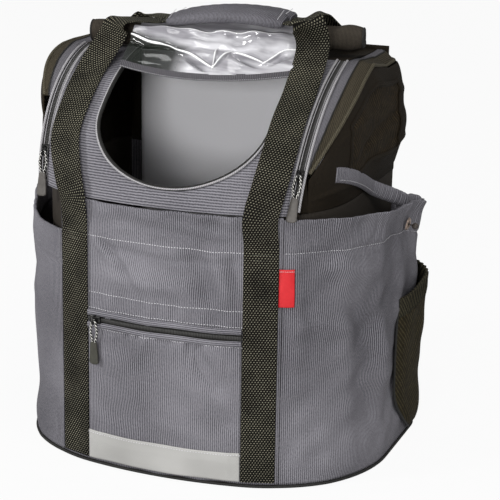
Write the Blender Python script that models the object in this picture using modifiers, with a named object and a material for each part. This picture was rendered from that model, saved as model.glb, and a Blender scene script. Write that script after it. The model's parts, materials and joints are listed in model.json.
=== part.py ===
"""Dog bicycle basket: a soft bag with a curved front, side pockets, a zipped hood and two carrying loops.

The front faces -Y, the floor lies on Z = 0, and left is -X. Every length is in metres.
"""
import bisect
import math

import bmesh
import bpy
from mathutils import Matrix, Vector

# Bag outline in plan
bag_width = 0.380
front_reach = 0.135
back_reach = 0.135
front_radius = 0.420
rear_corner_radius = 0.038

# Heights
waist_height = 0.280
hood_height = 0.408
left_hood_half = 0.168
right_hood_half = 0.158

# Cloth, boards and running gaps
gap = 0.0003
wall = 0.004
pocket_cloth = 0.0025
thin_cloth = 0.0015
floor_cloth = 0.004
board = 0.004
back_stiffener = 0.0025
lining = 0.002
hood_cloth = 0.003

# Webbing and grips
webbing_width = 0.034
webbing_thickness = 0.002
front_panel_half = 0.083
strap_foot = 0.0075
folded_webbing_width = 0.018
grip_length = 0.126
grip_width = 0.022
grip_height = 0.009
grip_play = 0.0004
grip_shift = 0.009
grip_lean = 3.0
strap_top = 0.245
hinge_drop = 0.001
leg_standoff = 0.0040
leg_shares = (0.12, 0.30, 0.50, 0.70)
left_leg_x = 0.117
right_leg_x = 0.103
front_grip_y = 0.008
rear_grip_y = 0.034

# Side pockets
hem_height = 0.034
inner_hem_height = 0.016
inner_hem_front_y = -0.062
inner_hem_rear_y = 0.092
inner_hem_leave_share = 0.60
pocket_rim = 0.278
pocket_rim_dip = 0.024
inner_rim_front = 0.322
inner_rim_rear = 0.262
inner_rim_reach = 0.022
left_flare = 0.002
right_flare = 0.012
flare_height = 0.040
hem_cloth = 0.0008
hem_channel = 0.0034
cord_diameter = 0.0020
mesh_front_y = 0.031
mesh_height = 0.163
mesh_rise = 0.019
mesh_bulge = 0.011
mesh_cloth = 0.0012
mesh_column_shares = (0.2, 0.45, 0.7)
mesh_row_shares = (0.0, 0.1, 0.3, 0.65, 1.0)
eyelet_radius = 0.007
eyelet_hole = 0.0038
eyelet_thickness = 0.0012
eyelet_y = 0.055
eyelet_height = 0.009
bead_radius = 0.0035
bead_reach = 0.012

# Hood and zips
hood_corner_radius = 0.016
left_zip_offset = 0.146
right_zip_offset = 0.126
zip_width = 0.0094
zip_thickness = 0.002
left_zip_radius = 0.120
right_zip_radius = 0.221
left_zip_end = 0.012
right_zip_end = 0.030
vent_end_shares = (0.24, 0.84)
vent_rise_shares = (0.24, 0.86)
slider_length = 0.012
slider_width = 0.008
slider_height = 0.0035
bail_wire = 0.0018
pull_cord = 0.0022
pull_loop_length = 0.026
pull_loop_width = 0.006
pull_tab_length = 0.022
pull_tab_width = 0.0105
pull_tab_thickness = 0.0034
pull_lie = 0.0012
rest_rise = 0.036
slider_stop_y = 0.002

# Cover opening
opening_half_width = 0.088
opening_foot_share = 0.10
opening_turn_share = 0.45

# Rolled window
roll_radius = 0.0155
roll_length = 0.280
roll_shift = 0.001
roll_y = 0.029
roll_turn = 11.7
vinyl_half_width = 0.078
vinyl_thickness = 0.0010
vinyl_fold = 0.003

# Front pocket and trim
pocket_top = 0.152
pocket_zip_width = 0.012
strip_top = 0.038
strip_cloth = 0.0008
pocket_slider_reach = 0.072
tab_width = 0.015
tab_foot = 0.191
tab_height = 0.038
tab_thickness = 0.001

# Floor cushion
cushion_height = 0.030
cushion_margin = 0.004

# Bracket for the handlebar
bracket_width = 0.110
bracket_height = 0.095
bracket_thickness = 0.008
bracket_foot = 0.150
bracket_corner = 0.012
hook_width = 0.016
hook_reach = 0.014
hook_height = 0.022
hook_spread = 0.032
bolt_radius = 0.003
bolt_head_radius = 0.0055
bolt_head_height = 0.0025
bolt_play = 0.0004
bolt_spread = 0.040

# Lead ring inside
ring_wire = 0.003
ring_half_width = 0.011
ring_drop = 0.018
ring_x = 0.060
ring_height = 0.235
ring_tab_width = 0.016
ring_tab_thickness = 0.0015

seat = wall + gap
waist = waist_height + gap
roof_under = hood_height - hood_cloth


def arc_points(centre, radius, start, end, count):
    """Points on an arc in plan, angles in degrees."""
    steps = [start + (end - start) * i / count for i in range(count + 1)]
    return [Vector((centre[0] + radius * math.cos(math.radians(a)),
                    centre[1] + radius * math.sin(math.radians(a)))) for a in steps]


class Route:
    """A line in plan, measured along its length, with its outward side."""

    def __init__(self, points):
        self.points = [points[0]]
        for point in points[1:]:
            if (point - self.points[-1]).length > gap / 10:
                self.points.append(point)
        self.marks = [0.0]
        sides = []
        for a, b in zip(self.points, self.points[1:]):
            self.marks.append(self.marks[-1] + (b - a).length)
            along = (b - a).normalized()
            sides.append(Vector((along.y, -along.x)))
        pairs = zip([sides[0]] + sides, sides + [sides[-1]])
        self.sides = [(a + b).normalized() for a, b in pairs]
        self.length = self.marks[-1]

    def at(self, distance, out=0.0):
        """Place on the line; a negative distance is the mirrored left side."""
        d = min(abs(distance), self.length)
        i = min(bisect.bisect_right(self.marks, d), len(self.points) - 1) - 1
        t = (d - self.marks[i]) / (self.marks[i + 1] - self.marks[i])
        place = self.points[i].lerp(self.points[i + 1], t)
        side = self.sides[i].lerp(self.sides[i + 1], t).normalized()
        place = place + side * out
        return Vector((math.copysign(1, distance) * place.x, place.y))

    def columns(self, first, last, extra=()):
        """Distances from first to last at the line's own bends, so that layers lie parallel."""
        clear = 2 * gap
        marks = sorted([first, last, *extra])
        for mark in self.marks:
            if first < mark < last and min(abs(mark - m) for m in [first, last, *extra]) > clear:
                marks.append(mark)
        return sorted(marks)

    def distance_at(self, axis, value):
        """Distance at which a rising coordinate reaches a value."""
        for i in range(len(self.points) - 1):
            a, b = self.points[i][axis], self.points[i + 1][axis]
            if a <= value <= b and b > a:
                return self.marks[i] + (self.marks[i + 1] - self.marks[i]) * (value - a) / (b - a)
        return self.length


half_width = bag_width / 2
front_turn = math.degrees(math.asin(front_panel_half / front_radius))
corner_radius = (half_width - front_panel_half) / (1 - math.sin(math.radians(front_turn)))
front_centre = Vector((0, front_radius - front_reach))
corner_centre = Vector((half_width - corner_radius, 0))
corner_centre.y = (front_centre.y - (front_radius - corner_radius) * math.cos(math.radians(front_turn)))
rear_centre = Vector((half_width - rear_corner_radius, back_reach - rear_corner_radius))

outer = Route(arc_points(front_centre, front_radius, -90, -90 + front_turn, 8)
              + arc_points(corner_centre, corner_radius, -90 + front_turn, 0, 22)
              + arc_points(rear_centre, rear_corner_radius, 0, 90, 12)
              + [Vector((0, back_reach))])

strap_centre = front_panel_half + webbing_width / 2
strap_edge = front_panel_half + webbing_width
front_wall_end = strap_edge + wall
hood_halves = {-1: left_hood_half, 1: right_hood_half}
zip_offsets = {-1: left_zip_offset, 1: right_zip_offset}
flares = {-1: left_flare, 1: right_flare}
hood_back_halves = {side: hood_halves[side] - hood_corner_radius for side in (-1, 1)}
cabin_back = back_reach - seat
cabin_start = outer.at(front_wall_end - 2 * wall, -seat)
cabin_bend = corner_centre.y - 2 * wall


def bezier_points(a, b, c, d, count):
    """Points on a cubic curve from a to d."""
    points = []
    for i in range(count + 1):
        t = i / count
        k = 1 - t
        points.append(a * k ** 3 + b * 3 * k * k * t + c * 3 * k * t * t + d * t ** 3)
    return points


def cabin_route(half):
    """The cabin's outer line in plan on one side, from the front wall round to the back."""
    lead = 0.26 * (cabin_bend - cabin_start.y)
    end = Vector((half, cabin_bend))
    return Route(bezier_points(cabin_start, cabin_start + Vector((lead, 0.85 * lead)),
                               end - Vector((0, 2.2 * lead)), end, 12)
                 + arc_points((half - hood_corner_radius, cabin_back - hood_corner_radius),
                              hood_corner_radius, 0, 90, 8))


cabins = {side: cabin_route(hood_halves[side]) for side in (-1, 1)}
pocket_ends = {side: outer.length - hood_back_halves[side] - gap for side in (-1, 1)}
liner_half = min(hood_back_halves.values()) - wall


def front_y(x):
    """Front line of the bag in plan at a distance from its middle."""
    x = abs(x)
    if x <= front_panel_half:
        return front_centre.y - math.sqrt(front_radius ** 2 - x * x)
    return corner_centre.y - math.sqrt(corner_radius ** 2 - (x - corner_centre.x) ** 2)


class ZipArc:
    """A side zip: an arc in an upright plane from the waist to the hood's top, share 0 to 1."""

    def __init__(self, offset, radius, end_y):
        start = Vector((front_y(offset), waist + hood_cloth / 2))
        end = Vector((end_y, hood_height))
        chord = end - start
        across = Vector((chord.y, -chord.x)).normalized()
        sag = math.sqrt(radius ** 2 - (chord.length / 2) ** 2)
        self.centre = (start + end) / 2 + across * sag
        self.radius = radius
        self.first = math.atan2(start.y - self.centre.y, start.x - self.centre.x) % (2 * math.pi)
        self.last = math.atan2(end.y - self.centre.y, end.x - self.centre.x)

    def angle(self, share):
        return self.first + (self.last - self.first) * share

    def at(self, share, out=0.0):
        a = self.angle(share)
        return self.centre + Vector((math.cos(a), math.sin(a))) * (self.radius + out)

    def share_at_height(self, height):
        a = math.pi - math.asin((height - self.centre.y) / self.radius)
        return (a - self.first) / (self.last - self.first)

    def share_at_y(self, y):
        a = math.acos(max(-1.0, min(1.0, (y - self.centre.x) / self.radius)))
        return max(0.0, min(1.0, (a - self.first) / (self.last - self.first)))


zips = {-1: ZipArc(left_zip_offset, left_zip_radius, left_zip_end),
        1: ZipArc(right_zip_offset, right_zip_radius, right_zip_end)}


def cover_point(x, share, out=0.0):
    """The front cover: lofted between the two zips, with the bag's curved front at its foot."""
    def surface(x, share):
        blend = min(1.0, max(0.0, (x + left_zip_offset) / (left_zip_offset + right_zip_offset)))
        place = zips[-1].at(share).lerp(zips[1].at(share), blend)
        ends = front_y(left_zip_offset) * (1 - blend) + front_y(right_zip_offset) * blend
        bulge = (front_y(x) - ends) * (1 - share)
        return Vector((x, place.x + bulge, place.y))

    step = 1e-3
    place = surface(x, share)
    along = surface(x, share + step) - surface(x, share - step)
    across = surface(x + step, share) - surface(x - step, share)
    return place + across.cross(along).normalized() * out


collection = bpy.data.collections.new("dog_bicycle_basket")
cutters = bpy.data.collections.new("cutters")
materials = {}


def material(name, colour, roughness, metallic=0.0):
    """A plain finish for one kind of stuff."""
    made = bpy.data.materials.new(name)
    made.use_nodes = True
    shader = made.node_tree.nodes["Principled BSDF"]
    shader.inputs["Base Color"].default_value = (*colour, 1.0)
    shader.inputs["Roughness"].default_value = roughness
    shader.inputs["Metallic"].default_value = metallic
    materials[name] = made


def make_materials():
    material("grey_cloth", (0.20, 0.20, 0.22), 0.85)
    material("dark_cloth", (0.035, 0.030, 0.024), 0.9)
    material("lining_cloth", (0.55, 0.54, 0.58), 0.8)
    material("webbing", (0.022, 0.021, 0.017), 0.8)
    material("mesh", (0.012, 0.011, 0.008), 0.7)
    material("reflective", (0.48, 0.48, 0.47), 0.4)
    material("red_cloth", (0.55, 0.02, 0.03), 0.7)
    material("board_plastic", (0.05, 0.05, 0.05), 0.6)
    material("zip_metal", (0.08, 0.08, 0.08), 0.4, 0.8)
    material("zip_cloth", (0.02, 0.02, 0.02), 0.7)
    material("pull_rubber", (0.10, 0.095, 0.09), 0.6)
    material("clear_sheet", (0.75, 0.76, 0.78), 0.1)
    material("bracket_plastic", (0.02, 0.02, 0.02), 0.5)
    material("steel", (0.45, 0.45, 0.45), 0.3, 1.0)


def add_mesh(name, mesh, stuff):
    """An object for one piece, in the basket's collection."""
    made = bpy.data.objects.new(name, mesh)
    collection.objects.link(made)
    if not mesh.materials:
        mesh.materials.append(materials[stuff])
    return made


def shares(count, start=0.0, end=1.0):
    return [start + (end - start) * i / count for i in range(count + 1)]


def sheet(name, surface, us, vs, thickness, outward, stuff, hole=None, centred=False):
    """A cloth panel: a grid laid over a surface, its outer face, with its wall grown inwards."""
    grid = bmesh.new()
    bmesh.ops.create_grid(grid, x_segments=len(us) - 1, y_segments=len(vs) - 1, size=1)
    for vert in grid.verts:
        i = round((vert.co.x + 1) / 2 * (len(us) - 1))
        j = round((vert.co.y + 1) / 2 * (len(vs) - 1))
        vert.co = Vector((i, j, 0))
    if hole:
        inside = []
        for face in grid.faces:
            middle = face.calc_center_median()
            u = (us[int(middle.x)] + us[int(middle.x) + 1]) / 2
            v = (vs[int(middle.y)] + vs[int(middle.y) + 1]) / 2
            if hole(u, v):
                inside.append(face)
        bmesh.ops.delete(grid, geom=inside, context="FACES")
    for vert in grid.verts:
        vert.co = surface(us[round(vert.co.x)], vs[round(vert.co.y)])
    bmesh.ops.remove_doubles(grid, verts=grid.verts, dist=gap / 10)
    grid.faces.ensure_lookup_table()
    grid.normal_update()
    middle = grid.faces[len(grid.faces) // 2]
    if middle.normal.dot(outward(middle.calc_center_median())) < 0:
        bmesh.ops.reverse_faces(grid, faces=grid.faces)
    mesh = bpy.data.meshes.new(name)
    grid.to_mesh(mesh)
    grid.free()
    made = add_mesh(name, mesh, stuff)
    shell = made.modifiers.new("wall", "SOLIDIFY")
    shell.thickness = thickness
    shell.offset = 0 if centred else -1
    shell.use_even_offset = True
    mesh.shade_smooth()
    mesh.set_sharp_from_angle(angle=math.radians(40))
    return made


def from_centre(middle):
    """Outward in plan, seen from the middle of the bag."""
    return Vector((middle.x, middle.y, 0))


def upwards(middle):
    return Vector((0, 0, 1))


def side_name(side, piece):
    return ("left_" if side < 0 else "right_") + piece


def apply_modifiers(target):
    """Replaces a piece's mesh with its evaluated one."""
    bpy.context.view_layer.update()
    evaluated = target.evaluated_get(bpy.context.evaluated_depsgraph_get())
    mesh = bpy.data.meshes.new_from_object(evaluated)
    target.modifiers.clear()
    target.data = mesh


def curve_to_mesh(curve_object, name, stuff):
    """A curve's evaluated shape as a welded mesh piece."""
    bpy.context.view_layer.update()
    evaluated = curve_object.evaluated_get(bpy.context.evaluated_depsgraph_get())
    mesh = bpy.data.meshes.new_from_object(evaluated)
    welded = bmesh.new()
    welded.from_mesh(mesh)
    bmesh.ops.remove_doubles(welded, verts=welded.verts, dist=gap / 10)
    welded.to_mesh(mesh)
    welded.free()
    mesh.materials.clear()
    made = add_mesh(name, mesh, stuff)
    made.matrix_world = curve_object.matrix_world
    bpy.data.objects.remove(curve_object)
    return made


def tube(name, points, radius, stuff, closed=False, resolution=2):
    """A cord or wire along points."""
    curve = bpy.data.curves.new(name, "CURVE")
    curve.dimensions = "3D"
    curve.bevel_depth = radius
    curve.bevel_resolution = resolution
    curve.use_fill_caps = True
    line = curve.splines.new("POLY")
    line.points.add(len(points) - 1)
    for point, place in zip(line.points, points):
        point.co = (*place, 1)
    line.use_cyclic_u = closed
    made = bpy.data.objects.new(name, curve)
    collection.objects.link(made)
    curve.materials.append(materials[stuff])
    return made


def plate(name, outlines, thickness, stuff):
    """A flat outline, with any holes, extruded evenly to both sides of its plane."""
    curve = bpy.data.curves.new(name, "CURVE")
    curve.dimensions = "2D"
    curve.fill_mode = "BOTH"
    curve.extrude = thickness / 2
    for outline in outlines:
        line = curve.splines.new("POLY")
        line.points.add(len(outline) - 1)
        for point, place in zip(line.points, outline):
            point.co = (place[0], place[1], 0, 1)
        line.use_cyclic_u = True
    made = bpy.data.objects.new(name, curve)
    collection.objects.link(made)
    curve.materials.append(materials[stuff])
    return made


def block(name, size, place, stuff, bevel=0.0, segments=2):
    """A box with rounded edges."""
    made_mesh = bpy.data.meshes.new(name)
    box = bmesh.new()
    bmesh.ops.create_cube(box, size=1)
    bmesh.ops.scale(box, vec=size, verts=box.verts)
    if bevel:
        bmesh.ops.bevel(box, geom=box.edges, offset=bevel, segments=segments, profile=0.5,
                        affect="EDGES")
    box.to_mesh(made_mesh)
    box.free()
    made = add_mesh(name, made_mesh, stuff)
    made.location = place
    return made


def join(target, other, operation="UNION"):
    """Joins or cuts a piece with another, which is used up."""
    cut = target.modifiers.new("join", "BOOLEAN")
    cut.operation = operation
    cut.object = other
    apply_modifiers(target)
    bpy.data.objects.remove(other)


def lathe(name, profile, stuff, steps=20):
    """A turned piece about local Z; the profile runs down its outer side."""
    mesh = bpy.data.meshes.new(name)
    line = bmesh.new()
    verts = [line.verts.new((r, 0, z)) for r, z in profile]
    for a, b in zip(verts, verts[1:]):
        line.edges.new((a, b))
    line.to_mesh(mesh)
    line.free()
    made = add_mesh(name, mesh, stuff)
    turn = made.modifiers.new("turn", "SCREW")
    turn.steps = steps
    turn.render_steps = steps
    turn.use_merge_vertices = True
    turn.merge_threshold = gap / 10
    apply_modifiers(made)
    solid = bmesh.new()
    solid.from_mesh(made.data)
    bmesh.ops.recalc_face_normals(solid, faces=solid.faces)
    solid.to_mesh(made.data)
    solid.free()
    made.data.shade_smooth()
    made.data.set_sharp_from_angle(angle=math.radians(35))
    return made


def wall_heights(foot, top, count):
    return [foot + (top - foot) * i / count for i in range(count + 1)]


def make_floor():
    """Floor cloth, stiff board and crowned cushion."""
    edge = [outer.at(outer.length * i / 60) for i in range(61)]
    outline = edge + [Vector((-p.x, p.y)) for p in reversed(edge[1:-1])]
    base = plate("base_panel", [outline], floor_cloth, "dark_cloth")
    base.location.z = floor_cloth / 2

    inside = inner_outline(2 * gap)
    stiff = plate("base_board", [inside], board, "board_plastic")
    stiff.location.z = floor_cloth + gap + board / 2
    cushion_foot = floor_cloth + board + 2 * gap
    ring = inner_outline(cushion_margin)
    profile_shares = [(0.0, 0.0), (0.94, 0.0), (0.985, 0.10), (1.0, 0.35), (0.985, 0.62),
                      (0.93, 0.82), (0.78, 0.94), (0.45, 1.0), (0.0, 1.0)]

    def surface(u, v):
        place = ring[u % len(ring)]
        width_share, height_share = profile_shares[v]
        return Vector((place.x * width_share, place.y * width_share,
                       cushion_foot + cushion_height * height_share))

    closed_form("floor_cushion", surface, len(ring), len(profile_shares), "dark_cloth")


def closed_form(name, surface, around, levels, stuff):
    """A closed soft form: rings that shrink to a point at the foot and the top."""
    grid = bmesh.new()
    bmesh.ops.create_grid(grid, x_segments=around, y_segments=levels - 1, size=1)
    for vert in grid.verts:
        i = round((vert.co.x + 1) / 2 * around)
        j = round((vert.co.y + 1) / 2 * (levels - 1))
        vert.co = surface(i % around, j)
    bmesh.ops.remove_doubles(grid, verts=grid.verts, dist=gap / 10)
    bmesh.ops.dissolve_degenerate(grid, edges=grid.edges, dist=gap / 10)
    bmesh.ops.recalc_face_normals(grid, faces=grid.faces)
    mesh = bpy.data.meshes.new(name)
    grid.to_mesh(mesh)
    grid.free()
    mesh.shade_smooth()
    return add_mesh(name, mesh, stuff)


def inner_half(side, margin):
    """The cabin's inside in plan from the middle of the front round one side to the back."""
    inset = -(wall + margin)
    back = cabin_back - back_stiffener - gap - lining - gap - margin
    half = [outer.at(front_wall_end * i / 10, inset) for i in range(9)]
    for mark in cabins[side].marks[1:]:
        place = cabins[side].at(mark, inset)
        if place.y >= back:
            share = (back - half[-1].y) / (place.y - half[-1].y)
            half.append(half[-1].lerp(place, share))
            break
        if place.y > half[-1].y:
            half.append(place)
    return half


def inner_outline(margin):
    """The cabin's inside in plan, all round."""
    left = [Vector((-p.x, p.y)) for p in inner_half(-1, margin)[1:]]
    return inner_half(1, margin) + left[::-1]


def make_walls():
    """Front wall, inner side walls, and the layers of the back."""
    foot = floor_cloth + gap
    heights = wall_heights(foot, waist_height, 2)
    half = outer.columns(0.0, front_wall_end)
    sheet("front_wall", lambda s, z: Vector((*outer.at(s), z)),
          [-s for s in reversed(half[1:])] + half, heights, wall, from_centre, "grey_cloth")
    for side in (-1, 1):
        cabin = cabins[side]
        sheet(side_name(side, "side_wall"), lambda d, z: Vector((*cabin.at(side * d), z)),
              cabin.columns(0.0, cabin.length), heights, wall, from_centre, "dark_cloth")
    flat_panel("back_wall", *hood_back_halves.values(), foot, waist_height, back_reach, wall,
               "grey_cloth")
    flat_panel("hood_back", *hood_back_halves.values(), waist, roof_under - gap, back_reach, wall,
               "dark_cloth")
    inside_foot = floor_cloth + board + 2 * gap
    flat_panel("back_board", liner_half, liner_half, inside_foot, waist_height - wall, cabin_back,
               back_stiffener, "board_plastic")
    flat_panel("back_lining", liner_half, liner_half, inside_foot, roof_under - 3 * wall,
               cabin_back - back_stiffener - gap, lining, "lining_cloth")


def flat_panel(name, left, right, foot, top, back_face, thickness, stuff):
    """A flat upright layer whose rear face lies at back_face."""
    block(name, (left + right, thickness, top - foot),
          ((right - left) / 2, back_face - thickness / 2, (foot + top) / 2), stuff)


def rim_at(share):
    """Height of a side pocket's rim, which dips towards the middle of the side."""
    return pocket_rim - pocket_rim_dip * (1 - math.cos(math.pi * share ** 1.4)) / 2


def flare_at(side, share, height):
    """How far a pocket's mouth leans out."""
    rise = max(0.0, (height - (rim_at(share) - flare_height)) / flare_height)
    return flares[side] * rise * rise * math.sin(math.pi * share)


def make_side_pocket(side):
    """Outer pocket wall, its folded hem with the drawcord, the inner hem, eyelet and bead."""
    foot = floor_cloth + gap
    start = front_wall_end + gap
    pocket_end = pocket_ends[side]
    stations = outer.columns(start, pocket_end)
    cabin = cabins[side]

    def rim(d):
        return rim_at((d - start) / (pocket_end - start))

    def outer_place(d, below, out=0.0):
        share = (d - start) / (pocket_end - start)
        z = rim(d) - below
        place = outer.at(side * d, flare_at(side, share, z) + out)
        return Vector((place.x, place.y, z))

    def shell(d, k):
        depths = [rim(d) - foot, (rim(d) - foot + hem_height) / 2, flare_height, hem_height]
        return outer_place(d, depths[k])

    sheet(side_name(side, "side_pocket"), shell, stations, list(range(4)), pocket_cloth,
          from_centre, "grey_cloth")

    channel = hem_channel / 2
    foot_below = hem_height - 2 * gap
    middle_below = (foot_below + channel) / 2
    profile = [(hem_channel, foot_below), (hem_channel, middle_below)]
    for i in range(5):
        turn = math.pi * i / 4
        profile.append((channel + channel * math.cos(turn), channel - channel * math.sin(turn)))
    profile += [(0.0, middle_below), (0.0, foot_below)]
    inset = (pocket_cloth + hem_channel) / 2

    def hem_surface(d, k):
        out, below = profile[k]
        return outer_place(d, below, out - inset)

    sheet(side_name(side, "pocket_hem"), hem_surface, stations, list(range(len(profile))),
          hem_cloth, from_centre, "grey_cloth", centred=True)

    cord_below = channel + cord_diameter / 2
    ends = [start + cord_diameter, pocket_end - cord_diameter]
    cord = [outer_place(d, cord_below, channel - inset) for d in outer.columns(*ends)]
    tube(side_name(side, "drawcord"), cord, cord_diameter / 2, "webbing", resolution=1)

    ends = [cabin.distance_at(1, y) for y in (inner_hem_front_y, inner_hem_rear_y)]
    reach = min(inner_rim_reach, half_width - hood_halves[side] - 4 * pocket_cloth)

    def inner_hem(d, part):
        share = (d - ends[0]) / (ends[1] - ends[0])
        top = inner_rim_front + (inner_rim_rear - inner_rim_front) * share ** 1.3
        leave = max(0.0, (share - inner_hem_leave_share) / (1 - inner_hem_leave_share))
        place = cabin.at(side * d, gap + pocket_cloth + reach * leave * leave * (3 - 2 * leave))
        return Vector((place.x, place.y, top - inner_hem_height * (1 - part)))

    bends = [ends[0] + (ends[1] - ends[0]) * k for k in shares(4, inner_hem_leave_share, 1.0)[:-1]]
    sheet(side_name(side, "pocket_inner_hem"), inner_hem, cabin.columns(*ends, bends), shares(1),
          pocket_cloth, from_centre, "grey_cloth")

    at_eyelet = outer.distance_at(1, eyelet_y)
    face = hem_channel - inset + hem_cloth / 2
    below = hem_height - eyelet_height
    low = outer_place(at_eyelet, below + eyelet_radius, face)
    high = outer_place(at_eyelet, below - eyelet_radius, face)
    lean = math.atan2(abs(high.x) - abs(low.x), high.z - low.z)
    middle = (low + high) / 2 + Vector((side * gap, 0, 0))
    ring = lathe(side_name(side, "eyelet"), [
        (eyelet_hole, eyelet_thickness), (eyelet_hole + eyelet_thickness, eyelet_thickness * 1.6),
        (eyelet_radius - eyelet_thickness, eyelet_thickness * 1.4), (eyelet_radius, 0.0),
        (eyelet_hole, 0.0), (eyelet_hole, eyelet_thickness)], "steel")
    ring.location = middle
    ring.rotation_euler = (0, side * (math.pi / 2 + lean), 0)

    stem = cord_diameter / 2
    ball = [(0.0, bead_reach)]
    for i in range(1, 8):
        turn = math.pi / 2 - math.pi * i / 8
        ball.append((bead_radius * math.cos(turn), bead_reach - bead_radius + bead_radius * math.sin(turn)))
    ball += [(stem, bead_reach - 2 * bead_radius), (stem, 0.0), (0.0, 0.0)]
    bead = lathe(side_name(side, "cord_bead"), ball, "board_plastic", steps=14)
    bead.location = middle
    bead.rotation_euler = (0, side * (math.pi / 2 + lean), 0)


def make_mesh_pocket(side):
    """An elastic mesh pocket on the rear quarter of the side."""
    first = outer.distance_at(1, mesh_front_y)
    last = pocket_ends[side] - wall
    foot = strap_foot

    def surface(d, rise):
        share = (d - first) / (last - first)
        bulge = mesh_bulge * math.sin(math.pi * min(1.0, share)) ** 0.5 * rise ** 0.5
        place = outer.at(side * d, gap + mesh_cloth + bulge)
        top = mesh_height + mesh_rise * share
        return Vector((place.x, place.y, foot + (top - foot) * rise))

    middle = [first + (rear_centre.y - mesh_front_y) * k for k in mesh_column_shares]
    sheet(side_name(side, "mesh_pocket"), surface, outer.columns(first, last, middle),
          mesh_row_shares, mesh_cloth, from_centre, "mesh")


def make_cover():
    """Front cover with its U-shaped opening: grid lines run from the rim out to the zips."""
    left_edge = left_zip_offset - zip_width / 2 - gap
    right_edge = right_zip_offset - zip_width / 2 - gap
    legs = 4
    bend = 12

    def rim(u):
        if u < legs:
            return -opening_half_width, 1 - (1 - opening_turn_share) * u / legs
        if u > legs + bend:
            return opening_half_width, opening_turn_share + (1 - opening_turn_share) * (u - legs - bend) / legs
        turn = math.pi * (u - legs) / bend
        return (-opening_half_width * math.cos(turn),
                opening_turn_share - (opening_turn_share - opening_foot_share) * math.sin(turn))

    def border(u):
        corner = legs + bend / 4
        if u <= corner:
            return -left_edge, 1 - u / corner
        if u >= legs * 2 + bend - corner:
            return right_edge, (u - (legs * 2 + bend - corner)) / corner
        across = (u - corner) / (legs * 2 + bend - 2 * corner)
        return (left_edge + right_edge) * across - left_edge, 0.0

    def surface(u, v):
        inner_x, inner_share = rim(u)
        outer_x, outer_share = border(u)
        return cover_point(inner_x + (outer_x - inner_x) * v,
                           inner_share + (outer_share - inner_share) * v)

    sheet("front_cover", surface, list(range(2 * legs + bend + 1)), shares(3), hood_cloth,
          lambda m: Vector((0, -1, 1)), "grey_cloth")


def hood_profile(side, y, out=0.0):
    """Height of the hood's outer face beside its zip."""
    arc = zips[side]
    reach = arc.radius + out
    end = arc.at(1.0)
    if y >= end.x:
        return hood_height + out
    return arc.centre.y + math.sqrt(max(0.0, reach ** 2 - (y - arc.centre.x) ** 2))


def make_hood(side):
    """Side panel with its mesh vent, the band beside the zip, and the zip tape."""
    arc = zips[side]
    cabin = cabins[side]
    band_edge = zip_offsets[side] + zip_width / 2 + gap
    start = cabin.distance_at(0, band_edge + hood_cloth)
    span = cabin.length - start

    def top_at(d):
        place = cabin.at(d)
        return hood_profile(side, place.y, -hood_cloth - 2 * gap)

    def panel(d, v, inset=0.0):
        place = cabin.at(side * d)
        top = top_at(d)
        return Vector((place.x, place.y, waist + (top - waist) * v))

    vent_ends = [start + span * k for k in vent_end_shares]
    low, high = vent_rise_shares
    us = cabin.columns(start, cabin.length, vent_ends)
    vs = [0.0, low, (low + high) / 2, high, 1.0]

    def in_vent(d, v):
        return vent_ends[0] < d < vent_ends[1] and low < v < high

    sheet(side_name(side, "hood_side"), panel, us, vs, hood_cloth, from_centre, "dark_cloth",
          hole=in_vent)
    play = 2 * gap
    rise_play = 4 * gap / (hood_height - waist_height)

    def mesh_place(d, v):
        place = cabin.at(side * d, -(hood_cloth - mesh_cloth) / 2)
        top = top_at(d)
        return Vector((place.x, place.y, waist + (top - waist) * v))

    sheet(side_name(side, "vent_mesh"), mesh_place,
          cabin.columns(vent_ends[0] + play, vent_ends[1] - play),
          shares(2, low + rise_play, high - rise_play), mesh_cloth, from_centre, "mesh")

    first_y = cabin.at(start).y
    first = arc.share_at_y(first_y)
    back = back_reach - gap

    def profile_place(t):
        if t <= 1:
            return arc.at(first + (1 - first) * t)
        end = arc.at(1.0)
        return Vector((end.x + (back - end.x) * (t - 1), hood_height))

    def band(t, across):
        place = profile_place(t)
        if place.x >= cabin_back:
            limit = hood_back_halves[side]
        else:
            limit = cabin.at(cabin.distance_at(1, place.x)).x
        return Vector((side * (band_edge + (limit - band_edge) * across), place.x, place.y))

    sheet(side_name(side, "hood_band"), band, shares(10) + shares(6, 1.15, 2.0), shares(1),
          hood_cloth, upwards, "grey_cloth")

    def tape(t, across):
        place = arc.at(t)
        x = zip_offsets[side] + zip_width * (across - 0.5)
        return Vector((side * x, place.x, place.y))

    sheet(side_name(side, "zip_tape"), tape, shares(14, 0.04, 0.99), shares(1), zip_thickness,
          upwards, "zip_cloth")


def make_roof():
    """Roof panel behind the opening."""
    left_edge = left_zip_offset + zip_width / 2
    right_edge = right_zip_offset + zip_width / 2
    back = back_reach - gap

    def surface(x, t):
        blend = (x + left_edge) / (left_edge + right_edge)
        front = left_zip_end + (right_zip_end - left_zip_end) * blend + gap + hood_cloth / 2
        return Vector((x, front + (back - front) * t, hood_height))

    sheet("hood_roof", surface, shares(6, -left_edge, right_edge), shares(3), hood_cloth, upwards,
          "dark_cloth")


def make_slider(name, frame, along, stuff="zip_metal"):
    """A zip slider with its bail. Local Z stands off the cloth, local Y runs up, X across."""
    size = (slider_width, slider_length, slider_height)
    if along == "across":
        size = (slider_length, slider_width, slider_height)
    body = block(name, size, (0, 0, gap + slider_height / 2), stuff, bevel=slider_height / 5)
    apply_location(body)
    reach = slider_width / 2
    base = gap + slider_height - bail_wire / 2
    rise = bail_top - base
    points = []
    for i in range(9):
        turn = math.pi * i / 8
        points.append(Vector((0, reach * math.cos(turn), base + rise * math.sin(turn) ** 0.6)))
    bail = tube(name + "_bail", points, bail_wire / 2, stuff, resolution=1)
    bail = curve_to_mesh(bail, name + "_bail", stuff)
    join(body, bail)
    body.matrix_world = frame
    return body


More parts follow.
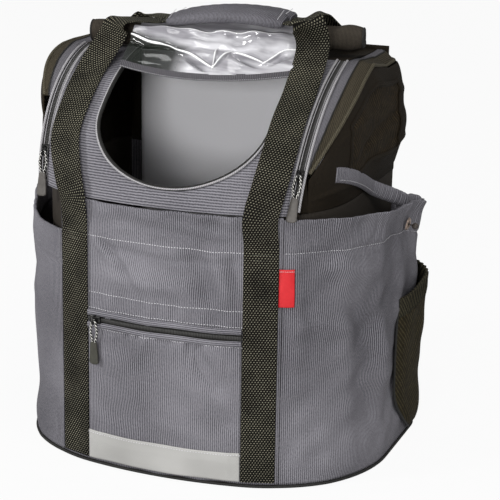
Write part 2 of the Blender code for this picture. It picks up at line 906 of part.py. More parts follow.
bail_top = gap + slider_height + pull_cord + 2 * gap + bail_wire
pivot_out = bail_top - bail_wire / 2 - gap - pull_cord / 2


def apply_location(target):
    target.data.transform(target.matrix_basis)
    target.matrix_basis = Matrix.Identity(4)


def make_pull(name, place, direction, across):
    """A cord loop with a rubber tab, hanging from its bail along direction."""
    radius = pull_loop_width / 2
    loop = []
    for i in range(9):
        turn = math.pi * i / 8
        loop.append(Vector((radius * math.cos(turn), 0, radius * math.sin(turn) - radius)))
    for i in range(9):
        turn = math.pi + math.pi * i / 8
        loop.append(Vector((radius * math.cos(turn), 0,
                            radius * math.sin(turn) + radius - pull_loop_length)))
    cord = curve_to_mesh(tube(name + "_cord", loop, pull_cord / 2, "webbing", closed=True,
                              resolution=1), name + "_cord", "webbing")
    tab = block(name, (pull_tab_width, pull_tab_thickness, pull_tab_length),
                (0, 0, -pull_loop_length - pull_tab_length / 2 + pull_cord), "pull_rubber",
                bevel=pull_tab_thickness / 3)
    apply_location(tab)
    join(tab, cord)
    down = -direction.normalized()
    side = across.normalized()
    out = down.cross(side)
    turn = Matrix((side, out, down)).transposed().to_4x4()
    tab.matrix_world = Matrix.Translation(place) @ turn
    return tab


def make_side_zip_fittings(side):
    """The slider that rests low on the side zip, and the pull that lies against the cloth."""
    arc = zips[side]
    share = arc.share_at_height(waist_height + rest_rise)
    angle = arc.angle(share)
    place = arc.at(share)
    radial = Vector((0, math.cos(angle), math.sin(angle)))
    up = Vector((0, math.sin(angle), -math.cos(angle)))
    across = up.cross(radial)
    turn = Matrix((across, up, radial)).transposed().to_4x4()
    origin = Vector((side * zip_offsets[side], place.x, place.y))
    slider = make_slider(side_name(side, "zip_slider"), Matrix.Identity(4), "up")
    slider.matrix_world = Matrix.Translation(origin) @ turn
    pivot = origin + radial * pivot_out
    face = front_y(zip_offsets[side] - pull_tab_width / 2) - pull_tab_thickness / 2 - pull_lie
    direction = Vector((0, face, waist_height)) - Vector((0, pivot.y, pivot.z))
    pull = make_pull(side_name(side, "zip_pull"), pivot, direction, Vector((1, 0, 0)))
    centre = Vector((side * zip_offsets[side], arc.centre.x, arc.centre.y))
    stop = math.degrees(angle - math.acos((slider_stop_y - arc.centre.x) / arc.radius))
    print("slider hinge", side, [round(v, 5) for v in centre], "pull", [round(v, 5) for v in pivot],
          "sweep", round(stop, 2))
    return slider, pull


def make_front_pocket():
    """Pocket panel, its zip with slider and pull, the reflective strip and the bare red tab."""
    edge = front_panel_half - 2 * gap
    out = gap + thin_cloth

    def on_front(extra):
        return lambda s, z: Vector((*outer.at(s, extra), z))

    columns = shares(12, -edge, edge)
    sheet("front_pocket_panel", on_front(out), columns, [strap_foot, pocket_top], thin_cloth,
          from_centre, "grey_cloth")
    sheet("pocket_zip", on_front(out), columns, [pocket_top + gap, pocket_top + pocket_zip_width],
          thin_cloth, from_centre, "zip_cloth")
    sheet("reflective_strip", on_front(out + gap + strip_cloth), columns, [strap_foot, strip_top],
          strip_cloth, from_centre, "reflective")
    tab_start = strap_edge + gap
    sheet("red_tab", on_front(gap + tab_thickness), shares(3, tab_start, tab_start + tab_width),
          [tab_foot, tab_foot + tab_height], tab_thickness, from_centre, "red_cloth")

    face = front_radius + out
    angle = -math.asin(pocket_slider_reach / front_radius)
    radial = Vector((math.sin(angle), -math.cos(angle), 0))
    across = Vector((math.cos(angle), math.sin(angle), 0))
    middle = pocket_top + (gap + pocket_zip_width) / 2
    origin = Vector((front_centre.x, front_centre.y, middle)) + radial * face
    turn = Matrix((across, Vector((0, 0, 1)), radial)).transposed().to_4x4()
    slider = make_slider("pocket_zip_slider", Matrix.Identity(4), "across")
    slider.matrix_world = Matrix.Translation(origin) @ turn
    pivot = origin + radial * pivot_out
    make_pull("pocket_zip_pull", pivot, Vector((0, 0, -1)), across)
    print("pocket slider", round(front_centre.y, 5), "pull", [round(v, 5) for v in pivot],
          "axis", [round(v, 5) for v in across], "sweep", round(math.degrees(-2 * angle), 2))


def smooth_path(controls, steps):
    """A Catmull-Rom curve through control values, each a vector."""
    ends = [controls[0] * 2 - controls[1]] + controls + [controls[-1] * 2 - controls[-2]]
    made = []
    for i in range(len(controls) - 1):
        a, b, c, d = ends[i:i + 4]
        for k in range(steps):
            t = k / steps
            made.append(0.5 * (2 * b + (c - a) * t + (2 * a - 5 * b + 4 * c - d) * t * t
                               + (3 * b - a - 3 * c + d) * t ** 3))
    made.append(controls[-1])
    return made


def make_handle(name, half_controls, height):
    """A webbing loop: half of its route, mirrored, carrying its width and its width's direction."""
    places, sides, widths = [], [], []
    for control in half_controls:
        right, left, side, width = control
        places.append(Vector(right))
        sides.append(Vector(side))
        widths.append(Vector((width, 0, 0)))
    for control in reversed(half_controls[:-1]):
        right, left, side, width = control
        places.append(Vector(left))
        sides.append(Vector((-side[0], side[1], side[2])))
        widths.append(Vector((width, 0, 0)))
    steps = 3
    path = smooth_path(places, steps)
    across = smooth_path(sides, steps)
    width = smooth_path(widths, steps)

    def surface(u, v):
        ahead = path[min(u + 1, len(path) - 1)] - path[max(u - 1, 0)]
        ahead.normalize()
        side = across[u]
        if 0 < u < len(path) - 1:
            side = side - ahead * side.dot(ahead)
        return path[u] + side.normalized() * width[u].x * (v - 0.5)

    made = sheet(name, surface, list(range(len(path))), [0.0, 1.0], webbing_thickness, upwards,
                 "webbing", centred=True)
    made.location = (0, 0, 0)
    return made


def make_straps():
    """Webbing sewn to the front and the back, up to where the loops come free."""
    top = strap_top
    out = gap + webbing_thickness
    for side in (-1, 1):
        sheet(side_name(side, "front_strap"), lambda s, z: Vector((*outer.at(side * s, out), z)),
              shares(4, front_panel_half, strap_edge), wall_heights(strap_foot, top, 1),
              webbing_thickness, from_centre, "webbing")
        block(side_name(side, "rear_strap"), (webbing_width, webbing_thickness, top - strap_foot),
              (side * strap_centre, back_reach + gap + webbing_thickness / 2,
               (top + strap_foot) / 2), "webbing")


def roll_line(x):
    """Where the rolled window's axis lies in plan at a distance from the middle."""
    return roll_y + (x - roll_shift) * math.tan(math.radians(roll_turn))


def make_handles():
    """The two carrying loops and their padded grips, resting on the rolled window."""
    roll_top = hood_height + 2 * roll_radius + gap
    lean = math.tan(math.radians(grip_lean))
    grip_z = roll_top + gap + grip_height / 2 + grip_length / 2 * lean
    hinge_z = strap_top + 2 * hinge_drop
    foot_out = gap + webbing_thickness / 2
    hinge_y = outer.at(front_panel_half, webbing_thickness + 2 * gap).y
    foot_place = outer.at(strap_centre, foot_out)
    foot_side = (outer.at(strap_edge) - outer.at(front_panel_half)).normalized()
    x = strap_centre
    half_grip = grip_length / 2 + webbing_thickness
    wide = webbing_width
    narrow = folded_webbing_width
    mix = (wide + narrow) / 2

    def leg(share, extra):
        settle = min(1.0, share / leg_shares[1])
        places = []
        for side, leg_x in ((1, right_leg_x), (-1, left_leg_x)):
            across = foot_place.x + (leg_x - foot_place.x) * settle
            places.append(cover_point(side * across, share, leg_standoff + extra))
        flat = foot_side.y / foot_side.x * (1 - share)
        return places[0], places[1], (1, flat, 0), wide

    def even(place, side, width):
        return place, (-place[0], place[1], place[2]), side, width

    def in_grip(reach, y, side, width):
        right, left = reach + grip_shift, grip_shift - reach
        return (right, y, grip_z + right * lean), (left, y, grip_z + left * lean), side, width

    def before_roll(side):
        return min(front_grip_y - webbing_thickness,
                   roll_line(side * strap_edge) - roll_radius - 5 * webbing_thickness)

    roll_z = hood_height + roll_radius
    front = [
        even((foot_place.x, foot_place.y, hinge_z), (foot_side.x, foot_side.y, 0), wide),
        even((foot_place.x, foot_place.y - 2 * webbing_thickness, waist_height),
             (foot_side.x, foot_side.y, 0), wide),
        *[leg(share, webbing_thickness) for share in leg_shares[:2]],
        *[leg(share, webbing_thickness / 2) for share in leg_shares[2:]],
        ((x + webbing_thickness, before_roll(1), roll_z),
         (-x - 3 * webbing_thickness, before_roll(-1), roll_z), (1, 0.1, 0), wide),
        ((x - webbing_thickness, front_grip_y - grip_width / 2, grip_z + webbing_thickness),
         (-x + webbing_thickness, front_grip_y - grip_width, grip_z - webbing_thickness),
         (0.8, 0.6, 0), wide),
        in_grip(half_grip + webbing_width / 3, front_grip_y - webbing_thickness / 2, (0.2, 1, 0), mix),
        in_grip(half_grip, front_grip_y, (0, 1, 0), narrow),
        in_grip(grip_length / 4, front_grip_y, (0, 1, 0), narrow),
        in_grip(0, front_grip_y, (0, 1, 0), narrow),
    ]
    make_handle("front_handle", front, hinge_z)
    make_grip("front_grip", front_grip_y, grip_z)

    rear_foot_y = back_reach + foot_out
    rear_y = back_reach + gap + 1.2 * webbing_thickness
    over = hood_height + 2 * webbing_thickness
    behind = 2.4 * roll_radius
    rear = [
        even((x, rear_foot_y, hinge_z), (-1, 0, 0), wide),
        even((x, rear_y, (hinge_z + hood_height) / 2), (-1, 0, 0), wide),
        even((x, rear_y, hood_height - 4 * webbing_thickness), (-1, 0, 0), wide),
        even((x, back_reach - webbing_thickness, over), (-1, 0, 0), wide),
        even((x, back_reach - webbing_width / 2, over), (-1, 0, 0), wide),
        ((x, roll_line(x) + behind, roll_z), (-x, roll_line(-x) + behind, roll_z), (-1, 0, 0), wide),
        ((x - webbing_thickness, rear_grip_y + grip_width, grip_z + webbing_thickness),
         (-x + webbing_thickness, rear_grip_y + grip_width, grip_z - 2 * webbing_thickness),
         (-0.8, 0.6, 0), wide),
        in_grip(half_grip + webbing_width / 3, rear_grip_y + webbing_thickness / 2, (-0.2, 1, 0), mix),
        in_grip(half_grip, rear_grip_y, (0, 1, 0), narrow),
        in_grip(grip_length / 4, rear_grip_y, (0, 1, 0), narrow),
        in_grip(0, rear_grip_y, (0, 1, 0), narrow),
    ]
    make_handle("rear_handle", rear, hinge_z)
    make_grip("rear_grip", rear_grip_y, grip_z)
    print("front handle hinge", round(hinge_y, 5), round(hinge_z, 5), "rear", round(rear_y, 5))


def make_grip(name, y, z):
    """A padded sleeve with a slot for the folded webbing."""
    sleeve = block(name, (grip_length, grip_width, grip_height), (0, 0, 0), "grey_cloth",
                   bevel=grip_height / 3, segments=3)
    slot = block(name + "_slot", (grip_length + grip_width, folded_webbing_width + 2 * grip_play,
                                  webbing_thickness + 2 * grip_play), (0, 0, 0), "grey_cloth")
    join(sleeve, slot, "DIFFERENCE")
    lean = math.radians(grip_lean)
    sleeve.location = (grip_shift, y, z + grip_shift * math.tan(lean))
    sleeve.rotation_euler = (0, -lean, 0)


def make_window():
    """The clear window: its border rolled up on the hood, and the sheet bunched before it."""
    centre_z = hood_height + gap + roll_radius
    end = roll_radius * 0.3
    half = roll_length / 2
    roll = lathe("window_roll", [(0.0, half), (roll_radius - 2 * end, half), (roll_radius - end / 2, half - end / 2),
                                 (roll_radius, half - 2 * end), (roll_radius * 0.96, half / 2),
                                 (roll_radius, 0.0), (roll_radius * 0.95, -half / 2),
                                 (roll_radius, 2 * end - half), (roll_radius - end / 2, end / 2 - half),
                                 (roll_radius - 2 * end, -half), (0.0, -half)], "grey_cloth", steps=18)
    roll.location = (roll_shift, roll_y, centre_z)
    roll.rotation_euler = (0, math.pi / 2, math.radians(roll_turn))

    before = (roll_radius + gap) / math.cos(math.radians(roll_turn))
    crown = roll_radius * 0.55
    drop = 2 * roll_radius

    def surface(x, t):
        y = roll_line(x) - before - roll_radius * 2.9 * t
        z = centre_z + crown * math.sin(math.pi * min(1.0, t * 2)) - drop * t * t
        wave = vinyl_fold * math.sin(math.pi * t) * math.sin(x / vinyl_half_width * 3 * math.pi)
        sag = vinyl_fold * 2 * t * math.cos(x / vinyl_half_width * math.pi)
        return Vector((x, y + wave, z - sag))

    sheet("window_vinyl", surface, shares(22, -vinyl_half_width, vinyl_half_width), shares(7),
          vinyl_thickness, upwards, "clear_sheet", centred=True)


def rounded_rectangle(half_x, half_y, radius, count=5):
    corners = [(half_x - radius, half_y - radius, 0), (radius - half_x, half_y - radius, 90),
               (radius - half_x, radius - half_y, 180), (half_x - radius, radius - half_y, 270)]
    outline = []
    for x, y, start in corners:
        outline += arc_points((x, y), radius, start, start + 90, count)
    return outline


def make_bracket():
    """The hook-in bracket on the back, bolted through the wall into the stiffener."""
    holes = []
    for side in (-1, 1):
        holes.append([Vector((side * bolt_spread, 0)) + p for p in
                      arc_points((0, 0), bolt_radius + bolt_play, 0, 360, 12)[:-1]])
    outline = rounded_rectangle(bracket_width / 2, bracket_height / 2, bracket_corner)
    flat = plate("rear_bracket_plate", [outline] + holes, bracket_thickness, "bracket_plastic")
    flat.rotation_euler = (math.pi / 2, 0, 0)
    face = back_reach + gap
    middle = bracket_foot + bracket_height / 2
    flat.location = (0, face + bracket_thickness / 2, middle)
    bracket = curve_to_mesh(flat, "rear_bracket", "bracket_plastic")
    rear = face + bracket_thickness
    for side in (-1, 1):
        top = bracket_foot + bracket_height - bracket_corner
        outline = [(0, 0), (hook_reach, 0), (hook_reach, hook_height), (hook_reach / 2, hook_height),
                   (hook_reach / 2, hook_height / 3), (0, hook_height / 3)]
        shape = [(rear - hook_reach / 8 + u, top - hook_height + v) for u, v in outline]
        hook = plate("hook", [shape], hook_width, "bracket_plastic")
        hook.matrix_world = Matrix(((0, 0, 1, side * hook_spread), (1, 0, 0, 0), (0, 1, 0, 0),
                                    (0, 0, 0, 1)))
        join(bracket, curve_to_mesh(hook, "hook", "bracket_plastic"))
    for side in (-1, 1):
        shank = face - wall
        bolt = lathe(side_name(side, "bracket_bolt"), [
            (0.0, rear + gap + bolt_head_height), (bolt_head_radius, rear + gap + bolt_head_height),
            (bolt_head_radius, rear + gap), (bolt_radius, rear + gap), (bolt_radius, face + gap),
            (0.0, face + gap)], "steel", steps=16)
        bolt.rotation_euler = (-math.pi / 2, 0, 0)
        bolt.location = (side * bolt_spread, 0, middle)


def make_lead_ring():
    """A D-shaped ring in a folded tab on the lining, for a lead."""
    wall_face = cabin_back - back_stiffener - gap - lining - gap
    turn_radius = ring_wire / 2 + gap + ring_tab_thickness
    bar_y = wall_face - turn_radius
    top = ring_height + 2 * ring_tab_width
    profile = [(wall_face, top), (wall_face, ring_height)]
    for i in range(1, 6):
        turn = math.pi * i / 6
        profile.append((bar_y + turn_radius * math.cos(turn), ring_height - turn_radius * math.sin(turn)))
    front = wall_face - 2 * ring_tab_thickness - gap
    profile += [(bar_y - turn_radius, ring_height), (front, ring_height + 3 * turn_radius), (front, top)]

    def surface(x, k):
        y, z = profile[k]
        return Vector((x, y, z))

    sheet("d_ring_tab", surface, [ring_x - ring_tab_width / 2, ring_x + ring_tab_width / 2],
          list(range(len(profile))), ring_tab_thickness,
          lambda m: m - Vector((m.x, bar_y, ring_height)), "webbing")
    points = [Vector((ring_x - ring_half_width + 2 * ring_half_width * i / 6, bar_y, ring_height))
              for i in range(7)]
    for i in range(1, 12):
        turn = math.pi * i / 12
        points.append(Vector((ring_x + ring_half_width * math.cos(turn), bar_y,
                              ring_height - ring_drop * math.sin(turn) ** 0.8)))
    tube("d_ring", points, ring_wire / 2, "steel", closed=True)
    print("d ring bar", round(ring_x, 5), round(bar_y, 5), round(ring_height, 5))


def main():
    for old in list(bpy.data.objects):
        bpy.data.objects.remove(old)
    bpy.context.scene.collection.children.link(collection)
    bpy.context.scene.collection.children.link(cutters)
    make_materials()
    make_floor()
    make_walls()
    for side in (-1, 1):
        make_side_pocket(side)
        make_mesh_pocket(side)
        make_hood(side)
    make_cover()
    make_roof()
    make_front_pocket()
    make_straps()
    for side in (-1, 1):
        make_side_zip_fittings(side)
    make_window()
    make_handles()
    make_bracket()
    make_lead_ring()


main()
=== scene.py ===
# %% [markdown]
# # Dog bicycle basket
# A soft bag for a small dog: ribbed grey cloth walls, a zipped hood with a U-shaped
# opening, side pockets, webbing loops and padded grips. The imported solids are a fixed
# frame. Here each cloth solid gets a finer piece of cloth in its place, and each hard
# solid keeps its shape and gets a better finish.

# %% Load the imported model
import json
import math

import bpy
import numpy as np
from mathutils import Matrix, Vector


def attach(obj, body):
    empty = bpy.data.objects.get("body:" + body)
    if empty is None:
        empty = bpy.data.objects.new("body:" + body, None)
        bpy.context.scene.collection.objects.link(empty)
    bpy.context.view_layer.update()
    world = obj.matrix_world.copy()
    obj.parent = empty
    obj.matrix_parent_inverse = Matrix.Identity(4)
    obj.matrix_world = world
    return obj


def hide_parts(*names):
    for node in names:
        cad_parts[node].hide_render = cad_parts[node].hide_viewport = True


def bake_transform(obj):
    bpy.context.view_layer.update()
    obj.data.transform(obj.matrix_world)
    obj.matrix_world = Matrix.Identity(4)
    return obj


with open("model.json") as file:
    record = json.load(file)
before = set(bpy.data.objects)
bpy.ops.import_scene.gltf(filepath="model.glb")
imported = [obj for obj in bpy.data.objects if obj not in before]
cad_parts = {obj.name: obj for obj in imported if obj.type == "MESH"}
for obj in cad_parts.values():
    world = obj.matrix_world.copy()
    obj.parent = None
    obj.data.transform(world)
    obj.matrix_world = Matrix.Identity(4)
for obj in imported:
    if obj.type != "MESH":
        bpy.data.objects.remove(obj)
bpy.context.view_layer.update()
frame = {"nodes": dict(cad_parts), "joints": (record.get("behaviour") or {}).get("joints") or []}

# %% [markdown]
# ## Small helpers
# A few formulas come back everywhere: a ramp, a bell, a signed power, places made from
# coordinates, and unit vectors. `both` runs a maker for the left and the right side.

# %% Helpers
pi, linspace = math.pi, np.linspace
UP = np.array([0, 0, 1.0])


def ramp(value, start, width=1.0):
    """(value - start) / width, held between 0 and 1. A negative width falls."""
    return np.clip((value - start) / width, 0, 1)


def bell(value, middle, width):
    """exp(-((value - middle) / width)^2)"""
    return np.exp(-((value - middle) / width) ** 2)


def signed(value, power):
    """|value|^power with the sign of the value."""
    return np.sign(value) * np.abs(value) ** power


def join(*parts):
    """Places from their coordinates, each a number or an array."""
    return np.stack(np.broadcast_arrays(*parts), -1)


def mesh_grid(first, second):
    """Two parameters as a grid, the first down its rows."""
    return np.meshgrid(first, second, indexing="ij")


def unit(vectors):
    """vector / its length"""
    return vectors / np.linalg.norm(vectors, axis=-1, keepdims=True)


def square_to(vectors, lines):
    """Unit vectors from the part of vectors that is square to unit lines."""
    return unit(vectors - lines * (vectors * lines).sum(-1, keepdims=True))


def both(make):
    """Runs a maker for the left side (-X) and the right side."""
    for side, word in ((-1, "left_"), (1, "right_")):
        make(side, word)
    return make


def link(name, data, matrix=None):
    """A new object in the scene."""
    made = bpy.data.objects.new(name, data)
    bpy.context.scene.collection.objects.link(made)
    if matrix is not None:
        made.matrix_world = matrix
    return made


def look_from(place, target):
    """The matrix of a camera or lamp that looks from a place at a target."""
    turned = (Vector(place) - Vector(target)).to_track_quat("Z", "Y")
    return Matrix.Translation(place) @ turned.to_matrix().to_4x4()


print("helpers ready")

# %% [markdown]
# ## Camera and studio
# The camera stands to the right of the front and a little above, a long lens two metres
# away. It could be placed by eye, but these numbers come from a pinhole camera fitted
# to the photograph, so that a picture can be laid over it. The small shift frames the
# bag without tilting it.

# %% Camera
azimuth, elevation, roll = (math.radians(a) for a in (21.8, 16.6, -0.61))
aim, distance, picture = Vector((0, 0, 0.2)), 1.903, 500
focal_pixels, shift_pixels = 1821, (37, 3)
back = Vector((math.sin(azimuth) * math.cos(elevation), -math.cos(azimuth) * math.cos(elevation),
               math.sin(elevation)))
lens = bpy.data.cameras.new("camera")
lens.sensor_width = 36.0
lens.lens = focal_pixels / picture * lens.sensor_width
lens.shift_x, lens.shift_y = (s / picture for s in shift_pixels)
camera = link("camera", lens, look_from(aim + back * distance, aim) @ Matrix.Rotation(-roll, 4, "Z"))
bpy.context.scene.camera = camera
print("camera at", [round(v, 3) for v in camera.matrix_world.translation])

# %% [markdown]
# ## Shader maths
# A finish is a network of small nodes. Writing `1 - mask` reads better than wiring
# them by hand, so a small class wraps a socket and turns sums into Math nodes, and one
# method makes every other kind of node.


# %% Numbers and finishes
class Number:
    """A shader value. A sum written with it adds a Math node."""

    def __init__(self, finish, socket):
        self.finish, self.socket = finish, socket

    def __rsub__(self, other):
        return self.finish.maths("SUBTRACT", other, self)

    def smooth(self, low, high):
        """0 under low, 1 over high, with soft ends between."""
        return Number(self.finish, self.finish.node(
            "MapRange", {"interpolation_type": "SMOOTHSTEP"},
            {"Value": self, "From Min": low, "From Max": high}).outputs[0])

    def wave(self, pitch):
        """(1 + sin(2 pi value / pitch)) / 2"""
        return (self * (2 * pi / pitch)).sin() * 0.5 + 0.5


def worker(operation):
    """A method that adds one Math node with this operation."""
    return lambda number, *others: number.finish.maths(operation, number, *others)


for word, operation in (("__add__", "ADD"), ("__radd__", "ADD"), ("__sub__", "SUBTRACT"),
                        ("__mul__", "MULTIPLY"), ("__rmul__", "MULTIPLY"), ("__truediv__", "DIVIDE"),
                        ("__mod__", "FLOORED_MODULO"), ("__pow__", "POWER"), ("sin", "SINE"),
                        ("floor", "FLOOR"), ("root", "SQRT"), ("most", "MAXIMUM")):
    setattr(Number, word, worker(operation))


class Finish:
    """One material and its Principled shader, with the ways to add nodes to it."""

    def __init__(self, name, slot, rough, specular=0.5, metallic=0.0):
        self.slot = slot
        self.material = bpy.data.materials.new(name)
        self.material.use_nodes = True
        self.tree = self.material.node_tree
        self.shader = self.tree.nodes["Principled BSDF"]
        self.set("Roughness", rough)
        self.set("Specular IOR Level", specular)
        self.set("Metallic", metallic)

    def feed(self, socket, value):
        """Puts a number, a colour or a link into a socket."""
        if isinstance(value, Number):
            value = value.socket
        if isinstance(value, bpy.types.NodeSocket):
            self.tree.links.new(value, socket)
        else:
            socket.default_value = value

    def set(self, name, value):
        """Feeds one input of the Principled shader by its name."""
        self.feed(self.shader.inputs[name], value)

    def node(self, kind, settings=(), inputs=()):
        """A node of a kind: its settings first, then its inputs by name or index."""
        made = self.tree.nodes.new("ShaderNode" + kind)
        for key, value in dict(settings).items():
            setattr(made, key, value)
        for key, value in dict(inputs).items():
            self.feed(made.inputs[key], value)
        return made

    def maths(self, operation, *values):
        """One Math node over numbers and sockets."""
        return Number(self, self.node("Math", {"operation": operation}, dict(enumerate(values))).outputs[0])

    def uv(self):
        """The piece's own map, in metres across and along its cloth."""
        parts = self.node("SeparateXYZ", (), {0: self.node("TexCoord").outputs["UV"]})
        return Number(self, parts.outputs[0]), Number(self, parts.outputs[1])

    def place(self, scale=None):
        """The place on the object, squeezed where a scale is given."""
        plain = self.node("TexCoord").outputs["Object"]
        return self.node("Mapping", (), {"Vector": plain, "Scale": scale}).outputs[0] if scale else plain

    def noise(self, scale, detail=2.0, at=None):
        """Noise over the object's places, or over a pair of values."""
        at = self.place() if at is None else at
        if isinstance(at, tuple):
            at = self.node("CombineXYZ", (), dict(enumerate(at))).outputs[0]
        return Number(self, self.node("TexNoise", (), {"Vector": at, "Scale": scale,
                                                       "Detail": detail}).outputs[0])

    def mix(self, share, first, second):
        """A colour between two colours."""
        first, second = (srgb(*c) if isinstance(c, tuple) else c for c in (first, second))
        return self.node("Mix", {"data_type": "RGBA"}, {0: share, 6: first, 7: second}).outputs[2]

    def tones(self, share, first, second):
        """The base colour: the first tone where the share is 0, the second where it is 1."""
        self.set("Base Color", self.mix(share, first, second))

    def bump(self, height, depth, strength=1.0):
        """Makes the light see a surface raised by height * depth."""
        self.set("Normal", self.node("Bump", (), {"Height": height, "Distance": depth,
                                                  "Strength": strength}).outputs[0])


def srgb(*tones):
    """A colour as a screen shows it, 0 to 255, in the renderer's linear numbers."""
    return (*[(c / 255) ** 2.2 for c in tones], 1.0)


print("maths ready")

# %% [markdown]
# ## The studio
# A plain pale floor and a white surround. One lamp would be simpler, but it would throw
# a hard shadow. Four large soft lamps give the front its plain light and let the right
# side fall off a little, as in the photograph. Camera rays see the surround as white,
# while the cloth is lit by a weaker one.

# %% Floor, surround and lamps
bpy.context.scene.view_settings.view_transform = "Standard"
surround = bpy.data.worlds.new("surround")
bpy.context.scene.world = surround
surround.use_nodes = True
tree = surround.node_tree
sky = tree.nodes["Background"]
sky.inputs["Color"].default_value = (1, 1, 1, 1)
rays, seen, level = (tree.nodes.new("ShaderNode" + kind) for kind in ("LightPath", "Math", "MapRange"))
seen.operation = "MAXIMUM"
level.inputs["To Min"].default_value, level.inputs["To Max"].default_value = 0.34, 1.0
for start, end in ((rays.outputs["Is Camera Ray"], seen.inputs[0]),
                   (rays.outputs["Is Transmission Ray"], seen.inputs[1]),
                   (seen.outputs[0], level.inputs["Value"]), (level.outputs[0], sky.inputs["Strength"])):
    tree.links.new(start, end)

ground = bpy.data.meshes.new("floor")
ground.from_pydata([(-6, -6, 0), (6, -6, 0), (6, 6, 0), (-6, 6, 0)], [], [(0, 1, 2, 3)])
floor = link("floor", ground)
pale = Finish("pale_floor", "", 0.9, 0.1)
pale.set("Base Color", (0.62, 0.62, 0.62, 1))
glow = pale.node("Emission", (), {"Color": (1, 1, 1, 1), "Strength": 1.0})
seen_share = Number(pale, pale.node("LightPath").outputs["Is Camera Ray"]) * (0.93 + pale.noise(40) * 0.01)
floor_mix = pale.node("MixShader", (), {0: seen_share, 1: pale.shader.outputs[0], 2: glow.outputs[0]})
pale.feed(pale.tree.nodes["Material Output"].inputs[0], floor_mix.outputs[0])
ground.materials.append(pale.material)

for name, place, aim_z, size, power in (("front_lamp", (-2.1, -2.0, 1.5), 0.2, 0.6, 47),
                                        ("top_lamp", (0.5, -0.9, 2.6), 0.3, 1.0, 18),
                                        ("side_lamp", (2.6, -0.9, 2.2), 0.26, 0.9, 16),
                                        ("low_lamp", (0.4, -2.6, 0.8), 0.31, 0.6, 30)):
    light = bpy.data.lights.new(name, "AREA")
    light.size, light.energy = size, power
    link(name, light, look_from(place, (0, 0, aim_z)))
print("studio ready")

# %% [markdown]
# ## Sizes
# Each size of the solids that the cloth needs has a name here, in metres, so that a
# piece which is fitted to another reads the same value. Where the two sides of the bag
# differ, the value is kept for side -1, the left, and side 1, the right.

# %% Sizes of the bag
gap = 0.0003
wall, pocket_cloth, hood_cloth, thin_cloth = 0.004, 0.0025, 0.003, 0.0015
floor_cloth, board, stiffener, lining = 0.004, 0.004, 0.0025, 0.002
half_width, front_reach, back_reach, front_radius = 0.190, 0.135, 0.135, 0.420
panel_half, rear_corner, waist_height, hood_height = 0.083, 0.038, 0.280, 0.408
hood_half, zip_offset, zip_radius, zip_end, flare = ({-1: left, 1: right} for left, right in (
    (0.168, 0.158), (0.146, 0.126), (0.120, 0.221), (0.012, 0.030), (0.002, 0.012)))
zip_width, hood_corner, rim_height, rim_dip = 0.0094, 0.016, 0.278, 0.024
webbing_width, webbing_thickness, strap_foot, strap_top = 0.034, 0.002, 0.0075, 0.245
waist, foot = waist_height + gap, floor_cloth + gap
print("bag", 2 * half_width, "wide,", front_reach + back_reach, "deep")


# %% [markdown]
# ## The bag's lines in plan
# Everything is sewn along the same few lines, so they come first. Each wall could have
# a line of its own, but then a change to one would leave a gap beside it. The outer
# line runs from the middle of the front, round a big corner, to the back. A place on it
# is a distance walked along it and a step to its outer side.

# %% Lines in plan
def arc(centre, radius, start, end, count):
    """Points centre + radius * (cos a, sin a), for a from start to end in degrees."""
    a = np.radians(linspace(start, end, count + 1))
    return join(centre[0] + radius * np.cos(a), centre[1] + radius * np.sin(a))


class Route:
    """A line in plan, walked by distance, with a step to its outer side."""

    def __init__(self, points):
        points = np.asarray(points, float)
        apart = np.linalg.norm(np.diff(points, axis=0), axis=1)
        self.points = points[np.r_[True, apart > 1e-5]]
        steps = np.diff(self.points, axis=0)
        lengths = np.linalg.norm(steps, axis=1)
        self.marks = np.r_[0, np.cumsum(lengths)]
        self.length = self.marks[-1]
        side = join(steps[:, 1], -steps[:, 0]) / lengths[:, None]
        self.sides = np.vstack([side[:1], side[:-1] + side[1:], side[-1:]])

    def at(self, distance, out=0.0):
        """x and y at distances; a negative distance is the mirrored left side."""
        far = np.clip(np.abs(distance), 0, self.length)
        x, y, sx, sy = (np.interp(far, self.marks, line[:, k]) for line in (self.points, self.sides) for k in (0, 1))
        size = np.hypot(sx, sy)
        x, y = x + sx / size * out, y + sy / size * out
        return np.where(np.signbit(distance), -x, x), y

    def places(self, distance, out, z):
        """Places at distances, stepped out, at a height."""
        return join(*self.at(distance, out), z)

    def normals(self, distance):
        """The way out of the line at distances, not scaled."""
        return join(*(b - a for a, b in zip(self.at(distance), self.at(distance, 0.01))), 0.0)

    def reach(self, axis, value):
        """The distance at which a rising coordinate gets to a value."""
        line = self.points[:, axis]
        top = int(np.argmax(line)) + 1
        return float(np.interp(value, line[:top], self.marks[:top]))


front_turn = math.asin(panel_half / front_radius)
corner_radius = (half_width - panel_half) / (1 - math.sin(front_turn))
front_centre = np.array([0, front_radius - front_reach])
corner_centre = np.array([half_width - corner_radius,
                          front_centre[1] - (front_radius - corner_radius) * math.cos(front_turn)])
turn = math.degrees(front_turn)
outer = Route(np.vstack([
    arc(front_centre, front_radius, -90, -90 + turn, 30),
    arc(corner_centre, corner_radius, -90 + turn, 0, 80),
    arc((half_width - rear_corner, back_reach - rear_corner), rear_corner, 0, 90, 30),
    [(0, back_reach)]]))
strap_centre, strap_edge = panel_half + webbing_width / 2, panel_half + webbing_width
front_wall_end = strap_edge + wall
pocket_start = front_wall_end + gap
back_half = {side: hood_half[side] - hood_corner for side in (-1, 1)}
pocket_ends = {side: outer.length - back_half[side] - gap for side in (-1, 1)}
cabin_back = back_reach - wall - gap


